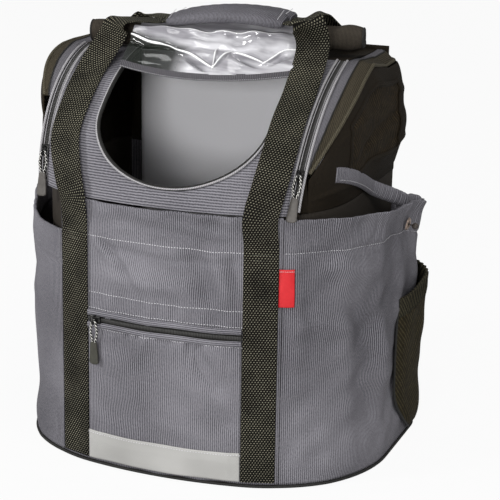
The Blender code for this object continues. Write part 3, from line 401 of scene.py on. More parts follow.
def cabin_line(half):
    """The cabin's outer line on one side: a (1-t)^3 + 3 b t (1-t)^2 + 3 c t^2 (1-t) + d t^3, and an arc."""
    a = np.array(outer.at(front_wall_end - 2 * wall, -wall - gap))
    bend = corner_centre[1] - 2 * wall
    lead = 0.26 * (bend - a[1])
    d = np.array([half, bend])
    b, c, t = a + (lead, 0.85 * lead), d - (0, 2.2 * lead), linspace(0, 1, 41)[:, None]
    curve = a * (1 - t) ** 3 + 3 * b * t * (1 - t) ** 2 + 3 * c * t * t * (1 - t) + d * t ** 3
    return Route(np.vstack([curve, arc((half - hood_corner, cabin_back - hood_corner), hood_corner, 0, 90, 12)]))


cabin = {side: cabin_line(hood_half[side]) for side in (-1, 1)}
print("front line", round(outer.length, 4), "cabin lines", [round(r.length, 4) for r in cabin.values()])


# %% [markdown]
# The hood's two side zips are arcs in upright planes, and the cover between them is a
# mix of the two arcs with the bag's own curved front at its foot. One formula for the
# surface keeps its cloth, its piping and the webbing on it together. Places on the
# cover are a distance across, and a share of the way up from the waist to the mouth.

# %% Zip arcs and the cover's surface
def front_y(x):
    """The front line's y at a distance from its middle."""
    x = np.abs(x)
    middle = front_centre[1] - np.sqrt(front_radius ** 2 - np.minimum(x, panel_half) ** 2)
    corner = corner_centre[1] - np.sqrt(np.maximum(corner_radius ** 2 - (x - corner_centre[0]) ** 2, 0))
    return np.where(x <= panel_half, middle, corner)


class ZipArc:
    """A side zip's arc from the waist to the hood's top, by share from 0 to 1."""

    def __init__(self, offset, radius, end_y):
        start = np.array([float(front_y(offset)), waist + hood_cloth / 2])
        end = np.array([end_y, hood_height])
        chord = end - start
        length = np.hypot(*chord)
        across = np.array([chord[1], -chord[0]]) / length
        self.centre = (start + end) / 2 + across * math.sqrt(radius ** 2 - (length / 2) ** 2)
        self.radius = radius
        self.first = math.atan2(*(start - self.centre)[::-1]) % (2 * pi)
        self.last = math.atan2(*(end - self.centre)[::-1])

    def at(self, share):
        """y and z at shares: centre + radius * (cos a, sin a)."""
        a = self.first + (self.last - self.first) * np.asarray(share, float)
        return self.centre[0] + self.radius * np.cos(a), self.centre[1] + self.radius * np.sin(a)

    def share_at_y(self, y):
        """The share of the way along the arc at a y, from acos((y - centre) / radius)."""
        a = np.arccos(np.clip((y - self.centre[0]) / self.radius, -1, 1))
        return ramp(a, self.first, self.last - self.first)


zips = {side: ZipArc(zip_offset[side], zip_radius[side], zip_end[side]) for side in (-1, 1)}


def cover_surface(x, share):
    """The two arcs mixed across x, plus the front line's curve fading with 1 - share."""
    mix = ramp(x, -zip_offset[-1], zip_offset[-1] + zip_offset[1])
    (left_y, left_z), (right_y, right_z) = zips[-1].at(share), zips[1].at(share)
    ends = front_y(zip_offset[-1]) * (1 - mix) + front_y(zip_offset[1]) * mix
    y = left_y * (1 - mix) + right_y * mix + (front_y(x) - ends) * (1 - share)
    return join(x, y, left_z * (1 - mix) + right_z * mix)


def cover(x, share, out=0.0):
    """A place on the cover, stepped out along the surface's normal."""
    x, share, out = np.broadcast_arrays(*(np.asarray(v, float) for v in (x, share, out)))
    step = 1e-3
    along = cover_surface(x, share + step) - cover_surface(x, share - step)
    across = cover_surface(x + step, share) - cover_surface(x - step, share)
    return cover_surface(x, share) + unit(np.cross(across, along)) * out[..., None]


print("zip centres", [zips[side].centre.round(4).tolist() for side in (-1, 1)])

# %% [markdown]
# ## From surfaces to pieces
# Two makers cover nearly everything. One lays a grid over a surface and gives it a
# wall, for cloth. The other carries a profile along a path, for webbing, cords and
# bindings. Blender's own curves and cloth could do much of it, but arrays give the same
# mesh each time and exact sizes. Both makers keep a map in metres, so that a weave has
# its real size everywhere.


# %% Grid and sweep makers
def ring_length(points):
    """Distance walked along rows of points, starting at zero."""
    steps = np.linalg.norm(np.diff(points, axis=0), axis=-1)
    return np.concatenate([np.zeros_like(steps[:1]), np.cumsum(steps, axis=0)])


def walked(place):
    """Distance walked along the columns of a grid of places."""
    return ring_length(place.swapaxes(0, 1)).T


def add_piece(name, mesh, finish, body, stands_for=()):
    """Links a mesh as a piece that rides on a body, in place of the solids it stands for."""
    made = link(name, mesh)
    mesh.materials.clear()
    mesh.materials.append(finish.material)
    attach(made, body)
    if stands_for:
        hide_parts(*stands_for)
    return made


def build_mesh(name, places, faces, corner_map=None, sharp=50):
    """A mesh from places and faces, with a map per corner and creases sharp over an angle."""
    mesh = bpy.data.meshes.new(name)
    mesh.from_pydata(places, [], faces)
    if corner_map is not None:
        layer = mesh.uv_layers.new(name="UVMap")
        layer.data.foreach_set("uv", np.asarray(corner_map, np.float32).ravel())
    mesh.shade_smooth()
    mesh.set_sharp_from_angle(angle=math.radians(sharp))
    return mesh


def corners_of(number):
    """The four corner numbers of each cell, in order round it."""
    return np.stack([number[:-1, :-1], number[1:, :-1], number[1:, 1:], number[:-1, 1:]], -1)


def numbered(place):
    """The number of each place of a grid, row by row."""
    return np.arange(place.shape[0] * place.shape[1]).reshape(place.shape[:2])


def outward(place):
    """The way out for cloth that stands around the bag: away from its middle, kept level."""
    return place * (1, 1, 0)


def upward(place):
    """The way out for cloth that lies on top."""
    return UP


def cloth(name, place, finish, thickness, facing=outward, uv=None, hole=None, stands_for=(), centred=False):
    """A sheet over a grid of places that faces a direction, with its wall grown inwards."""
    if uv is None:
        uv = join(ring_length(place), walked(place))
    quads, flat = corners_of(numbered(place)), place.reshape(-1, 3)
    middle = quads[tuple(max(n // 2 - 1, 0) for n in place.shape[:2])]
    a, b, c, d = flat[middle]
    if np.dot(np.cross(c - a, d - b), facing(flat[middle].mean(0))) < 0:
        quads = quads[..., ::-1]
    quads = quads.reshape(-1, 4)
    if hole is not None:
        quads = quads[~hole[:-1, :-1].ravel()]
    mesh = build_mesh(name, flat, quads.tolist(), uv.reshape(-1, 2)[quads.ravel()])
    made = add_piece(name, mesh, finish, "basket", stands_for)
    shell = made.modifiers.new("wall", "SOLIDIFY")
    shell.thickness, shell.offset, shell.use_even_offset = thickness, 0 if centred else -1, True
    return made


def sweep(name, path, across, profile, finish, body="basket", stands_for=(), closed=False, sharp=50):
    """A profile carried along a path: place = path + across * p + (tangent x across) * q."""
    path = np.asarray(path, float)
    tangent = unit(np.roll(path, -1, 0) - np.roll(path, 1, 0) if closed else np.gradient(path, axis=0))
    across = square_to(np.broadcast_to(np.asarray(across, float), path.shape), tangent)
    up = np.cross(tangent, across)
    profile = np.broadcast_to(profile, (len(path), *np.shape(profile)[-2:]))
    place = path[:, None] + across[:, None] * profile[..., :1] + up[:, None] * profile[..., 1:]
    number = numbered(place)
    number = np.hstack([number, number[:, :1]])
    u = walked(np.concatenate([place, place[:, :1]], 1))
    v = np.broadcast_to(ring_length(path)[:, None], u.shape)
    if closed:
        number, u = (np.vstack([rows, rows[:1]]) for rows in (number, u))
        v = np.vstack([v, v[-1:] + np.linalg.norm(path[0] - path[-1])])
    pick = [np.s_[i:len(number) - 1 + i, j:number.shape[1] - 1 + j] for i, j in ((0, 0), (0, 1), (1, 1), (1, 0))]
    quads = np.stack([number[p] for p in pick], -1).reshape(-1, 4)
    corners = np.stack([join(u[p], v[p]) for p in pick], 2).reshape(-1, 4, 2)
    flat = place.reshape(-1, 3)
    a, b, c, d = (flat[quads[:, k]] - flat.mean(0) for k in range(4))
    caps = [] if closed else [(number[k, :-1], join(u[k, :-1], v[k, :-1])) for k in (0, -1)]
    order = -1 if (a * (np.cross(b, c) + np.cross(c, d))).sum() < 0 else 1
    faces, cap_map = quads[:, ::order].tolist(), []
    for (ring, ring_map), way in zip(caps, (-order, order)):
        faces.append(ring[::way].tolist())
        cap_map.append(ring_map[::way])
    corners = np.concatenate([corners[:, ::order].reshape(-1, 2), *cap_map])
    return add_piece(name, build_mesh(name, flat, faces, corners, sharp), finish, body, stands_for)


def circle(radius, count=10):
    """A round profile: radius * (cos a, sin a)."""
    a = linspace(0, 2 * pi, count, endpoint=False)
    return radius * join(np.cos(a), np.sin(a))


def oblong(count, across_power, up_power):
    """An angle round, and a rounded oblong: signed powers of its cosine and sine."""
    a = linspace(0, 2 * pi, count, endpoint=False)
    return a, signed(np.cos(a), across_power), signed(np.sin(a), up_power)


def strip_profile(width, thickness, count=12):
    """A flat band's profile with rounded edges, walked all round."""
    p = linspace(-0.5, 0.5, count)
    edge = np.clip((0.5 - np.abs(p)) * width / thickness * 1.6, 0.35, 1)
    top = join(p * width, thickness / 2 * edge)
    return np.vstack([top, (top * (1, -1))[::-1]])


def smooth_path(controls, steps):
    """A curve through control rows, by the Catmull-Rom cubic between each pair."""
    c = np.asarray(controls, float)
    c = np.vstack([2 * c[0] - c[1], c, 2 * c[-1] - c[-2]])
    t = linspace(0, 1, steps, endpoint=False)[:, None]
    parts = [0.5 * (2 * b + (d - a) * t + (2 * a - 5 * b + 4 * d - e) * t ** 2 + (3 * b - a - 3 * d + e) * t ** 3)
             for a, b, d, e in zip(c, c[1:], c[2:], c[3:])]
    return np.vstack([*parts, c[-2:-1]])


def resample(path, step):
    """The same path with even steps."""
    far = ring_length(path)
    marks = linspace(0, far[-1], max(2, int(far[-1] / step) + 1))
    return join(*(np.interp(marks, far, line) for line in path.T))


print("makers ready")


# %% [markdown]
# Cloth is never quite flat. A noise that moves the surface would do for distant cloth,
# but a fold has to be where it is in the photograph. So two formulas give it life: soft
# ripples, a few slow waves in different directions, and folds, each a ridge or a dent
# along a short line.

# %% Ripples and folds
def ripples(u, v, size, seed, count=7):
    """The mean of slow waves sin(k . (u, v) + phase), with seeded directions."""
    random = np.random.default_rng(seed)
    total = 0.0
    for _ in range(count):
        angle, phase = random.uniform(0, pi), random.uniform(0, 2 * pi)
        pace = 2 * pi / size * random.uniform(0.6, 1.5)
        total = total + np.sin(pace * (u * math.cos(angle) + v * math.sin(angle)) + phase)
    return total / count ** 0.5


def folds(u, v, lines):
    """Each line (u0, v0, u1, v1, width, depth): depth * exp(-(across/width)^2) along it."""
    total = 0.0
    for u0, v0, u1, v1, width, depth in lines:
        length = math.hypot(u1 - u0, v1 - v0)
        du, dv = (u1 - u0) / length, (v1 - v0) / length
        along = ((u - u0) * du + (v - v0) * dv) / length * 2 - 1
        across = (u - u0) * -dv + (v - v0) * du
        total = total + depth * np.exp(-(across / width) ** 2 - np.abs(along) ** 4)
    return total


def stitches(name, path, out, finish, body="basket", pitch=0.0029, size=(0.0022, 0.0010, 0.0006)):
    """Thread showing on the cloth: small flat lozenges at even steps along a seam."""
    path = np.asarray(path, float)
    rows = resample(np.hstack([path, np.broadcast_to(out, path.shape) * 1e-3]), pitch)
    points = rows[:, :3]
    tangent = unit(np.gradient(points, axis=0))
    out = square_to(rows[:, 3:], tangent)
    shape = np.array([(-1, 0, 0), (0, -1, 0), (1, 0, 0), (0, 1, 0), (0, 0, 1), (0, 0, -1)]) * size / (2, 2, 1)
    axes = np.stack([tangent, np.cross(out, tangent), out], 1)
    place = points[:, None] + shape @ axes
    faces = np.array([(0, 1, 4), (1, 2, 4), (2, 3, 4), (3, 0, 4), (1, 0, 5), (2, 1, 5), (3, 2, 5), (0, 3, 5)])
    faces = (faces[None] + 6 * np.arange(len(points))[:, None, None]).reshape(-1, 3)
    return add_piece(name, build_mesh(name, place.reshape(-1, 3), faces.tolist()), finish, body)


print("folds ready")

# %% [markdown]
# ## Finishes
# The grey cloth is a ribbed polyester: cords two millimetres apart, each crossed by a
# finer thread. A picture of such cloth would repeat and blur up close, so waves make
# the cords. The ribs stand up on the lower bag and lie across above the waist. A finish
# reads the piece's map, so the ribs follow every fold.


# %% Ribbed cloth
def ribbed(name, slot, light, dark, pitch=0.0020, lying=False, worn=0.12):
    """Cords of a pitch across the map, finer threads along it, and slow uneven tone."""
    made = Finish(name, slot, 0.82, 0.18)
    across, along = made.uv()[::-1] if lying else made.uv()
    slow, wander = made.noise(9, 3), made.noise(60, 2, (across * 3, along * 3))
    cords = (across + wander * (1.1 * pitch / pi)).wave(pitch)
    threads = (along + (across / pitch).floor() * (0.31 * pitch)).wave(0.62 * pitch)
    grain = made.noise(1.0, 2, (across * 900, along * 420))
    tone = (cords * 0.42 + threads * 0.22 + grain * 0.36 - 0.5) * 1.7 + 0.5
    made.tones((tone + (slow - 0.5) * worn * 4).smooth(0.0, 1.0), dark, light)
    made.bump(cords * 0.7 + threads * 0.3, 0.0005, 0.55)
    return made


grey = ribbed("grey_ribbed", "grey_cloth", (141, 139, 145), (54, 53, 58), worn=0.24)
grey_lying = ribbed("grey_lying", "grey_cloth", (140, 138, 144), (66, 65, 70), 0.0024, True, 0.17)
grey_fine = ribbed("grey_fine", "grey_cloth", (112, 110, 115), (70, 69, 73), 0.0014)
grip_cloth = ribbed("grip_cloth", "grey_cloth", (128, 126, 132), (48, 47, 51), 0.0014, True, 0.25)
dark = ribbed("dark_woven", "dark_cloth", (47, 40, 30), (16, 13, 9), 0.0013)
band_tan = ribbed("band_tan", "dark_cloth", (76, 70, 58), (33, 30, 23), 0.0015)
inner_dark = ribbed("inner_dark", "dark_cloth", (66, 61, 56), (40, 37, 33), 0.0016)
pale_lining = ribbed("pale_lining", "lining_cloth", (253, 252, 254), (244, 243, 248), 0.0012)
elastic = ribbed("black_elastic", "mesh", (70, 66, 52), (12, 11, 7), 0.0021)
zip_grey = ribbed("zip_grey", "zip_cloth", (98, 96, 100), (58, 57, 60), 0.0018, True)
pad_cloth = ribbed("pad_cloth", "dark_cloth", (70, 66, 60), (46, 43, 39), 0.0016)
lid_cloth = ribbed("lid_cloth", "grey_cloth", (74, 68, 60), (38, 35, 31), 0.0013)
print("ribbed cloths ready")


# %% [markdown]
# Webbing is a thick flat weave. A painted highlight lightens the crowns of its yarns,
# which lie in rows two millimetres apart, each row half a step off the last. The net is
# cut out by its alpha, because real holes would take far too many faces.

# %% Webbing and net
webbing = Finish("black_webbing", "webbing", 0.7, 0.12)
u, v = webbing.uv()
yarn, pick = 0.0030, 0.0023
across = (u / yarn + ((v / pick).floor() % 2.0) * 0.5) % 1.0
down = (v / pick + across * 0.55) % 1.0
crown = (1 - ((across - 0.5) * 2.5) ** 2.0).most(0.0) * (1 - ((down - 0.5) * 2.6) ** 2.0).most(0.0)
fibre = webbing.noise(1.0, 2, (u * 2600, v * 1100))
# Painted highlight: the crowns of the yarns are coloured pale, as light would catch them.
crown_highlight = crown * (0.30 + fibre * 1.15) * (0.62 + webbing.noise(34) * 0.76)
webbing.tones(crown_highlight.smooth(0.36, 0.92), (15, 14, 10), (146, 142, 123))
webbing.bump(crown, 0.0010, 0.9)


def net_finish(name, solid, colour, pitch):
    """An open net: round holes in staggered rows, cut out by the alpha."""
    made = Finish(name, "mesh", 0.8, 0.15)
    u, v = made.uv()
    height = pitch * 0.87
    x = ((u / pitch + ((v / height).floor() % 2.0) * 0.5) % 1.0 - 0.5) * pitch
    y = ((v / height) % 1.0 - 0.5) * height
    held = ((x * x + y * y).root() / pitch).smooth(0.5 - solid, 0.5 - solid + 0.08)
    made.set("Alpha", held)
    rib = ((v * 0.8 + u) * (2 * pi / 0.0046)).sin().smooth(0.1, 0.9)
    made.tones(made.noise(200) * (0.4 + rib), *(tuple(shade * c for c in colour) for shade in (0.8, 2.6)))
    made.bump(held * 0.6 + rib * 0.4, 0.0006, 0.7)
    return made


vent_net = net_finish("vent_net", 0.42, (26, 22, 16), 0.0022)
pocket_net = net_finish("pocket_net", 0.40, (30, 27, 19), 0.0021)
print("webbing and nets ready")


# %% [markdown]
# The small goods differ little: each is two tones mixed by one formula, which may raise
# the surface too. The reflective tape is a fine grid of glass beads, plain grey in soft
# light. The zip is a coil, the cord a braid with pale flecks, and the hard plastics
# have a fine grain. One maker takes the tones and the formula, so that a finish is a
# single line.

# %% Threads, tapes, rubber and metal
def plain(name, slot, rough, dark, light, values, depth=0.0, strength=1.0, **more):
    """A finish between two tones. `values` gives the tone's share and the bump's height."""
    made = Finish(name, slot, rough, **more)
    share, height = values(made)
    made.tones(share, dark, light)
    if depth:
        made.bump(height, depth, strength)
    return made


def grains(scale, detail=2, fine=None):
    """Tones in spots of one size, and a finer noise for the bump."""
    return lambda m: (m.noise(scale, detail), m.noise(fine) if fine else None)


def weave(pitch, scale, plain_bump=False):
    """A weft, (1 + sin(2 pi v / pitch)) / 2, times a noise."""
    def values(m):
        weft = m.uv()[1].wave(pitch)
        spotted = weft * m.noise(scale)
        return spotted, weft if plain_bump else spotted
    return values


def twill(m):
    """Slanting lines, (1 + sin(2600 v + 1500 u)) / 2, times a noise."""
    u, v = m.uv()
    lines = ((v * 2600 + u * 1500).sin() * 0.5 + 0.5) * m.noise(400)
    return lines, lines


def bead_grid(m):
    """A grid of beads, (1 + sin(k u) * sin(k v)) / 2 with k = 2 pi / 1.6 mm, and slow spots."""
    u, v = m.uv()
    beads = (u * (2 * pi / 0.0016)).sin() * (v * (2 * pi / 0.0016)).sin() * 0.5 + 0.5
    return (beads * 0.5 + m.noise(14, 3)).smooth(0.3, 1.1), beads


def braid(m):
    """Slanting bands, (1 + sin(2 pi v / 3.6 mm + 1500 u)) / 2, with clear edges."""
    u, v = m.uv()
    lines = (v * (2 * pi / 0.0036) + u * 1500).sin() * 0.5 + 0.5
    return lines.smooth(0.62, 0.82), lines


thread = plain("pale_thread", "grey_cloth", 0.6, (186, 185, 188), (218, 217, 220), grains(900))
dark_thread = plain("dark_thread", "webbing", 0.7, (60, 60, 52), (110, 109, 98), grains(900))
piping = plain("pale_piping", "grey_cloth", 0.6, (132, 130, 133), (198, 196, 198), twill, 0.0003, 0.5)
edge_tape = plain("edge_tape", "dark_cloth", 0.7, (50, 46, 36), (112, 106, 90), twill, specular=0.2)
binding = plain("black_binding", "zip_cloth", 0.75, (16, 16, 15), (48, 46, 42), weave(0.0011, 300, True),
                0.0003, 0.6)
tape = plain("reflective_tape", "reflective", 0.42, (150, 149, 146), (180, 179, 176), bead_grid, 0.0002, 0.3)
coil = plain("zip_coil", "zip_cloth", 0.45, (14, 14, 14), (70, 69, 67), lambda m: (m.uv()[1].wave(0.0016),) * 2,
             0.0006, 0.9)
red = plain("red_tape", "red_cloth", 0.6, (196, 22, 32), (226, 40, 48), weave(0.0009, 300), 0.0002, 0.4)
rubber = plain("grey_rubber", "pull_rubber", 0.55, (62, 59, 56), (96, 92, 88), grains(260, 3, 900), 0.0002, 0.3)
dark_rubber = plain("dark_rubber", "pull_rubber", 0.5, (40, 40, 34), (70, 69, 60), grains(260, 3, 900),
                    0.0002, 0.3)
flecked = plain("flecked_cord", "webbing", 0.65, (16, 16, 15), (226, 224, 218), braid, 0.0005, 0.8)
black_metal = plain("black_lacquer", "zip_metal", 0.35, (40, 40, 40), (120, 118, 114),
                    lambda m: (m.noise(500, 3).smooth(0.55, 0.8), None), metallic=0.7)
copper_steel = plain("dark_eyelet", "steel", 0.3, (112, 92, 80), (216, 196, 182), grains(400, 3), metallic=1.0)
steel = Finish("plated_steel", "steel", 0.3, metallic=1.0)
brushed = steel.noise(700, 3)
steel.tones(brushed, (150, 148, 146), (196, 194, 190))
steel.set("Roughness", 0.22 + brushed * 0.2)
bracket_black, board_black, bead_black = (
    plain(name, slot, rough, first, second, grains(40, 3, 1500), 0.00025, 0.35)
    for name, slot, rough, first, second in (
        ("bracket_black", "bracket_plastic", 0.55, (36, 36, 37), (48, 48, 49)),
        ("board_black", "board_plastic", 0.7, (56, 56, 56), (66, 66, 66)),
        ("bead_black", "board_plastic", 0.35, (44, 40, 38), (84, 76, 70))))
print("tapes, rubber and metal ready")

# %% [markdown]
# Clear vinyl shows little but its glints, and in soft light they don't fall where the
# photograph has them. So the sheet reads three marks that its own mesh carries: one for a
# painted highlight that turns the ridges white, `shade` for painted shade in the dents,
# and `veil` for where layers lie together.

# %% Clear sheets
clear = Finish("clear_vinyl", "clear_sheet", 0.10, 0.9)
clear.set("IOR", 1.45)
haze = clear.noise(70, 3, clear.place((0.16, 1, 1)))
painted_glint, shade, veiled = (Number(clear, clear.node("Attribute", {"attribute_name": key}).outputs["Fac"])
                        for key in ("painted_glint", "shade", "veil"))
tone = clear.mix(haze.smooth(0.35, 0.66), (152, 150, 156), (228, 227, 231))
# Painted shade: the colour turns dark grey in the dents of the creases.
tone = clear.mix(veiled, (44, 48, 44), clear.mix(shade, tone, (66, 66, 72)))
# Painted highlight: the colour turns white along the ridges of the creases, and the alpha below rises there too.
clear.tones(painted_glint.smooth(0.10, 0.55), tone, (255, 255, 255))
clear.set("Alpha", 0.46 + veiled * (0.12 + haze * 0.26)
          + (painted_glint.smooth(0.12, 0.6) + shade * 0.5) * (0.54 - veiled * 0.24))
clear.bump(haze, 0.0012, 0.3)
layers = Finish("layered_vinyl", "clear_sheet", 0.16, 0.8)
streaks = layers.noise(260, 3, layers.place((0.12, 1, 1)))
layers.tones(streaks.smooth(0.35, 0.7), (118, 116, 120), (214, 212, 216))
layers.bump(streaks, 0.0015, 0.5)
print("finishes:", len(bpy.data.materials))

# %% [markdown]
# ## The lower bag
# The front wall is a curved panel between the two straps, with a pocket sewn on it. Its
# cloth dents where the pocket is empty and puckers between the seams. It could be
# sculpted by hand, but as numbers each fold can be moved later, so the grid moves in
# and out by the folds seen in the photograph.

# %% Front wall
edge, on_front = panel_half - 2 * gap, gap + thin_cloth


def front_bulge(d, z):
    """Folds of the front cloth, in distance from the middle and height."""
    shape = folds(d, z, [
        (-0.081, 0.243, -0.048, 0.214, 0.0045, 0.0034), (-0.072, 0.240, -0.030, 0.200, 0.006, -0.0030),
        (-0.052, 0.238, -0.020, 0.196, 0.006, 0.0020), (0.026, 0.240, 0.052, 0.192, 0.012, -0.0042),
        (0.052, 0.244, 0.070, 0.190, 0.010, 0.0036), (0.072, 0.238, 0.081, 0.200, 0.006, -0.0030),
        (-0.060, 0.206, 0.020, 0.200, 0.008, 0.0022), (-0.030, 0.224, 0.030, 0.216, 0.007, -0.0020),
        (-0.078, 0.236, 0.010, 0.228, 0.005, -0.0016), (0.004, 0.229, 0.078, 0.233, 0.005, -0.0014)])
    tucks = 0.0009 * np.sin(d * 2 * pi / 0.021 + 1.4 * np.sin(d * 60)) * bell(z, 0.176, 0.009)
    high = 0.0012 * ripples(d, z * 2.0, 0.05, 4) * ramp(z, 0.25, 0.01)
    edges = ramp(np.abs(d), panel_half, -0.014)
    slack = shape * 1.7 + tucks * 1.3 + high + 0.0009 * ripples(d, z, 0.05, 3)
    return slack * edges + 0.0030 * ramp(z, 0.243, 0.028) ** 1.2 * np.clip(edges, 0.3, 1)


def front_cloth(name, reach, low, top, out, finish, thickness, node, bulge, columns=140, rows=90):
    """A layer on the bag's curved front, from -reach to reach and between two heights."""
    d, z = mesh_grid(linspace(-reach, reach, columns), linspace(low, top, rows))
    cloth(name, outer.places(d, out + bulge(d, z), z), finish, thickness, uv=join(d, z), stands_for=[node])


front_cloth("front_wall_cloth", front_wall_end, foot, waist_height, 0.0, grey, 0.0036, "front_wall", front_bulge,
            rows=120)
print("front wall ready")


# %% [markdown]
# The pocket on the front is one more layer with a zip along its top, and below its zip
# the cloth bags a little. It could be drawn on the wall, but a layer of its own throws
# the thin shadow that shows its edge.

# %% Front pocket, zip, strip and tab
def pocket_bulge(d, z):
    """The front pocket's slack: a lift, puckers and folds, held flat at its side seams."""
    lift = 0.0020 * ramp(z, strap_foot, 0.02) * ramp(z, 0.152, -0.008)
    puckers = 0.0011 * ripples(d * 2.2, z * 0.5, 0.03, 11) * ramp(z, 0.115, 0.035)
    shape = folds(d, z, [
        (0.030, 0.148, 0.062, 0.098, 0.007, -0.0036), (0.050, 0.148, 0.068, 0.118, 0.006, 0.0010),
        (0.020, 0.120, 0.060, 0.070, 0.014, 0.0028), (0.046, 0.096, 0.078, 0.058, 0.009, -0.0030),
        (-0.050, 0.128, -0.020, 0.080, 0.014, 0.0020), (-0.010, 0.060, 0.050, 0.048, 0.010, 0.0020),
        (-0.072, 0.070, -0.030, 0.052, 0.010, -0.0014), (-0.078, 0.140, -0.066, 0.090, 0.006, -0.0018)])
    slack = lift + puckers * 1.3 + shape * 1.45 + 0.0007 * ripples(d, z, 0.045, 5)
    return slack * ramp(np.abs(d), panel_half, -0.012)


front_cloth("front_pocket_cloth", edge, strap_foot, 0.152, on_front, grey, thin_cloth, "front_pocket_panel",
            pocket_bulge)
front_cloth("front_zip_tape", edge, 0.1523, 0.164, on_front, binding, thin_cloth * 0.6, "pocket_zip",
            lambda d, z: -0.0006, 120, 12)
front_cloth("reflective_band", edge, strap_foot, 0.038, on_front + gap + 0.0008, tape, 0.0008,
            "reflective_strip", pocket_bulge, 120, 20)
d = linspace(-edge, edge, 160)
sweep("front_zip_coil", outer.places(d, on_front + 0.0004, 0.158), UP, circle(1) * (0.0022, 0.0010), coil)
for height, lift in ((0.1518, 0.0012), (0.1645, 0.0010)):
    sweep("zip_lip_%d" % (height * 1e4), outer.places(d, on_front + lift, height + 0.0004 * np.sin(d * 90)), UP,
          circle(1, 12) * (0.0030, 0.0016), grey)
print("front pocket ready")


# %% [markdown]
# ## Side pockets
# Each side is one wide pocket whose mouth is a folded hem with a cord inside. The cord
# gathers the hem, so it ripples near the rim and the ripples fade down the cloth. One
# grid goes up the outside, over the rim and down inside, as the cloth does, so its edge
# needs no seam.

# %% Side pockets and their hems
def rim_at(side, share):
    """A half cosine dip of share ** 1.4 to the back, lower at the rear, and on the left at the front."""
    low = 0.036 * np.exp(-(ramp(share, 0) / 0.36) ** 3) * (side < 0)
    dip = rim_dip * (1 - np.cos(pi * ramp(share, 0) ** 1.4)) / 2
    return rim_height - dip - low - 0.0060 * ramp(share, 0.68, 0.12)


def flare_at(side, share, z):
    """The rim leans outward: flare * (share of the last 40 mm of height)^2 * sin(pi * share)."""
    return flare[side] * np.maximum(0.0, (z - (rim_at(side, share) - 0.040)) / 0.040) ** 2 * np.sin(pi * share)


def belly(side, d, z):
    """The filled bag's swell: a low bump near the foot, and a slow one up the left side."""
    swell = 0.0045 * (bell(z, 0.020, 0.024) + bell(z, 0.170, 0.080) * (side < 0))
    return swell * ramp(d, pocket_start, 0.05) * ramp(d, pocket_ends[side], -0.06)


def side_folds(side, d, z):
    """The side cloth's slack: ripples and folds that fade at its seams, plus its belly."""
    seed, calm = 20 + side, 0.45 if side < 0 else 1.15
    shape = 0.0019 * ripples(d, z * 0.6, 0.085, seed) + 0.0009 * ripples(d, z, 0.040, seed + 40)
    shape = shape + folds(d, z, [
        (0.150, 0.232, 0.200, 0.176, 0.009, -0.0044), (0.172, 0.236, 0.232, 0.205, 0.011, 0.0034),
        (0.196, 0.196, 0.232, 0.120, 0.015, -0.0040), (0.246, 0.160, 0.262, 0.080, 0.011, 0.0030),
        (0.150, 0.110, 0.165, 0.040, 0.014, 0.0022), (0.152, 0.178, 0.206, 0.158, 0.009, 0.0026),
        (0.210, 0.110, 0.236, 0.050, 0.012, -0.0026), (0.128, 0.236, 0.146, 0.150, 0.008, 0.0016)])
    fade = ramp(z, foot, 0.03) * ramp(d, pocket_start, 0.02) * ramp(d, pocket_ends[side], -0.05)
    return shape * calm * fade + belly(side, d, z)


@both
def side_pocket(side, word):
    """Rows run from the foot up to the rim, over the hem's fold, and down inside it."""
    fold, last = 0.0034 / 2, pocket_ends[side]
    d = linspace(pocket_start, last, 280)[:, None]
    share = (d - pocket_start) / (last - pocket_start)
    rim = rim_at(side, share)
    turn = linspace(0, pi, 9)[None, 1:]
    down = linspace(0, 1, 8)[None, 1:]
    out = np.hstack([np.zeros((len(d), 100)), fold * (np.cos(turn) - 1) + 0 * d, -2 * fold + 0 * (d + down)])
    z = np.hstack([foot + (rim - fold - foot) * linspace(0, 1, 100)[None], rim - fold + fold * np.sin(turn),
                   rim - fold - 0.030 * down])
    dd = d + 0 * z
    gathered = ramp(z, rim - 0.060, 0.060) ** 1.2 * (0.4 + 0.9 * share ** 2) * (0.4 if side < 0 else 1)
    waves = 0.0013 * np.sin(2 * pi * dd / 0.0125 + 2.4 * ripples(dd, z, 0.05, 7)) * gathered
    seam = 0.0016 * bell(z, rim - 0.034, 0.0018)
    out = out + flare_at(side, share, z) + side_folds(side, dd, z) + waves - seam
    place = outer.places(side * dd, out + 0.0003, z)
    cloth(word + "pocket_cloth", place, grey, 0.0009, uv=join(dd, walked(place)),
          stands_for=[word + "side_pocket", word + "pocket_hem", word + "drawcord"])
    line = linspace(pocket_start + 0.003, last - 0.003, 200)
    share = (line - pocket_start) / (last - pocket_start)
    height = rim_at(side, share) - (0.034 if side > 0 else 0.006)
    lift = flare_at(side, share, height) + side_folds(side, line, height) - 0.0008
    stitches(word + "hem_stitches", outer.places(side * line, lift, height), outer.normals(side * line), thread)


print("side pockets ready")

# %% [markdown]
# A red tab is folded over and caught in the seam beside the right strap. It is a small
# piece of cloth like the others, with an arch of its own, so that it stands a little
# off the wall.

# %% Side tab
tab_start, tab_width, tab_seam = strap_edge + gap, 0.015, 0.2272


def tab_arch(d):
    """How far the tab stands off the wall: half a sine over its width."""
    return gap + 0.0009 * np.sin((d - tab_start) / tab_width * pi)


d, z = mesh_grid(linspace(tab_start, tab_start + tab_width, 14), linspace(0.191, 0.229, 30))
place = outer.places(d, tab_arch(d) + 0.0016 + 0.0004 * np.sin(z * 160) + side_folds(1, d, z), z)
cloth("red_side_tab", place, red, 0.001, uv=join(d, z), stands_for=["red_tab"])
d = linspace(tab_start + 0.0008, tab_start + 0.0142, 8)
stitches("tab_stitches", outer.places(d, tab_arch(d) + 0.0020 + side_folds(1, d, tab_seam), tab_seam),
         (0.8, -0.6, 0), thread, pitch=0.0016, size=(0.0015, 0.0006, 0.0003))
print("tab ready")


# %% [markdown]
# The pocket's inner edge is a soft padded hem. It lies against the hood at the front
# and leaves it towards the rear, where it meets the outer rim. A rounded oblong carried
# along that line is simpler than rolled cloth, and its size rises and falls with the
# gathers.

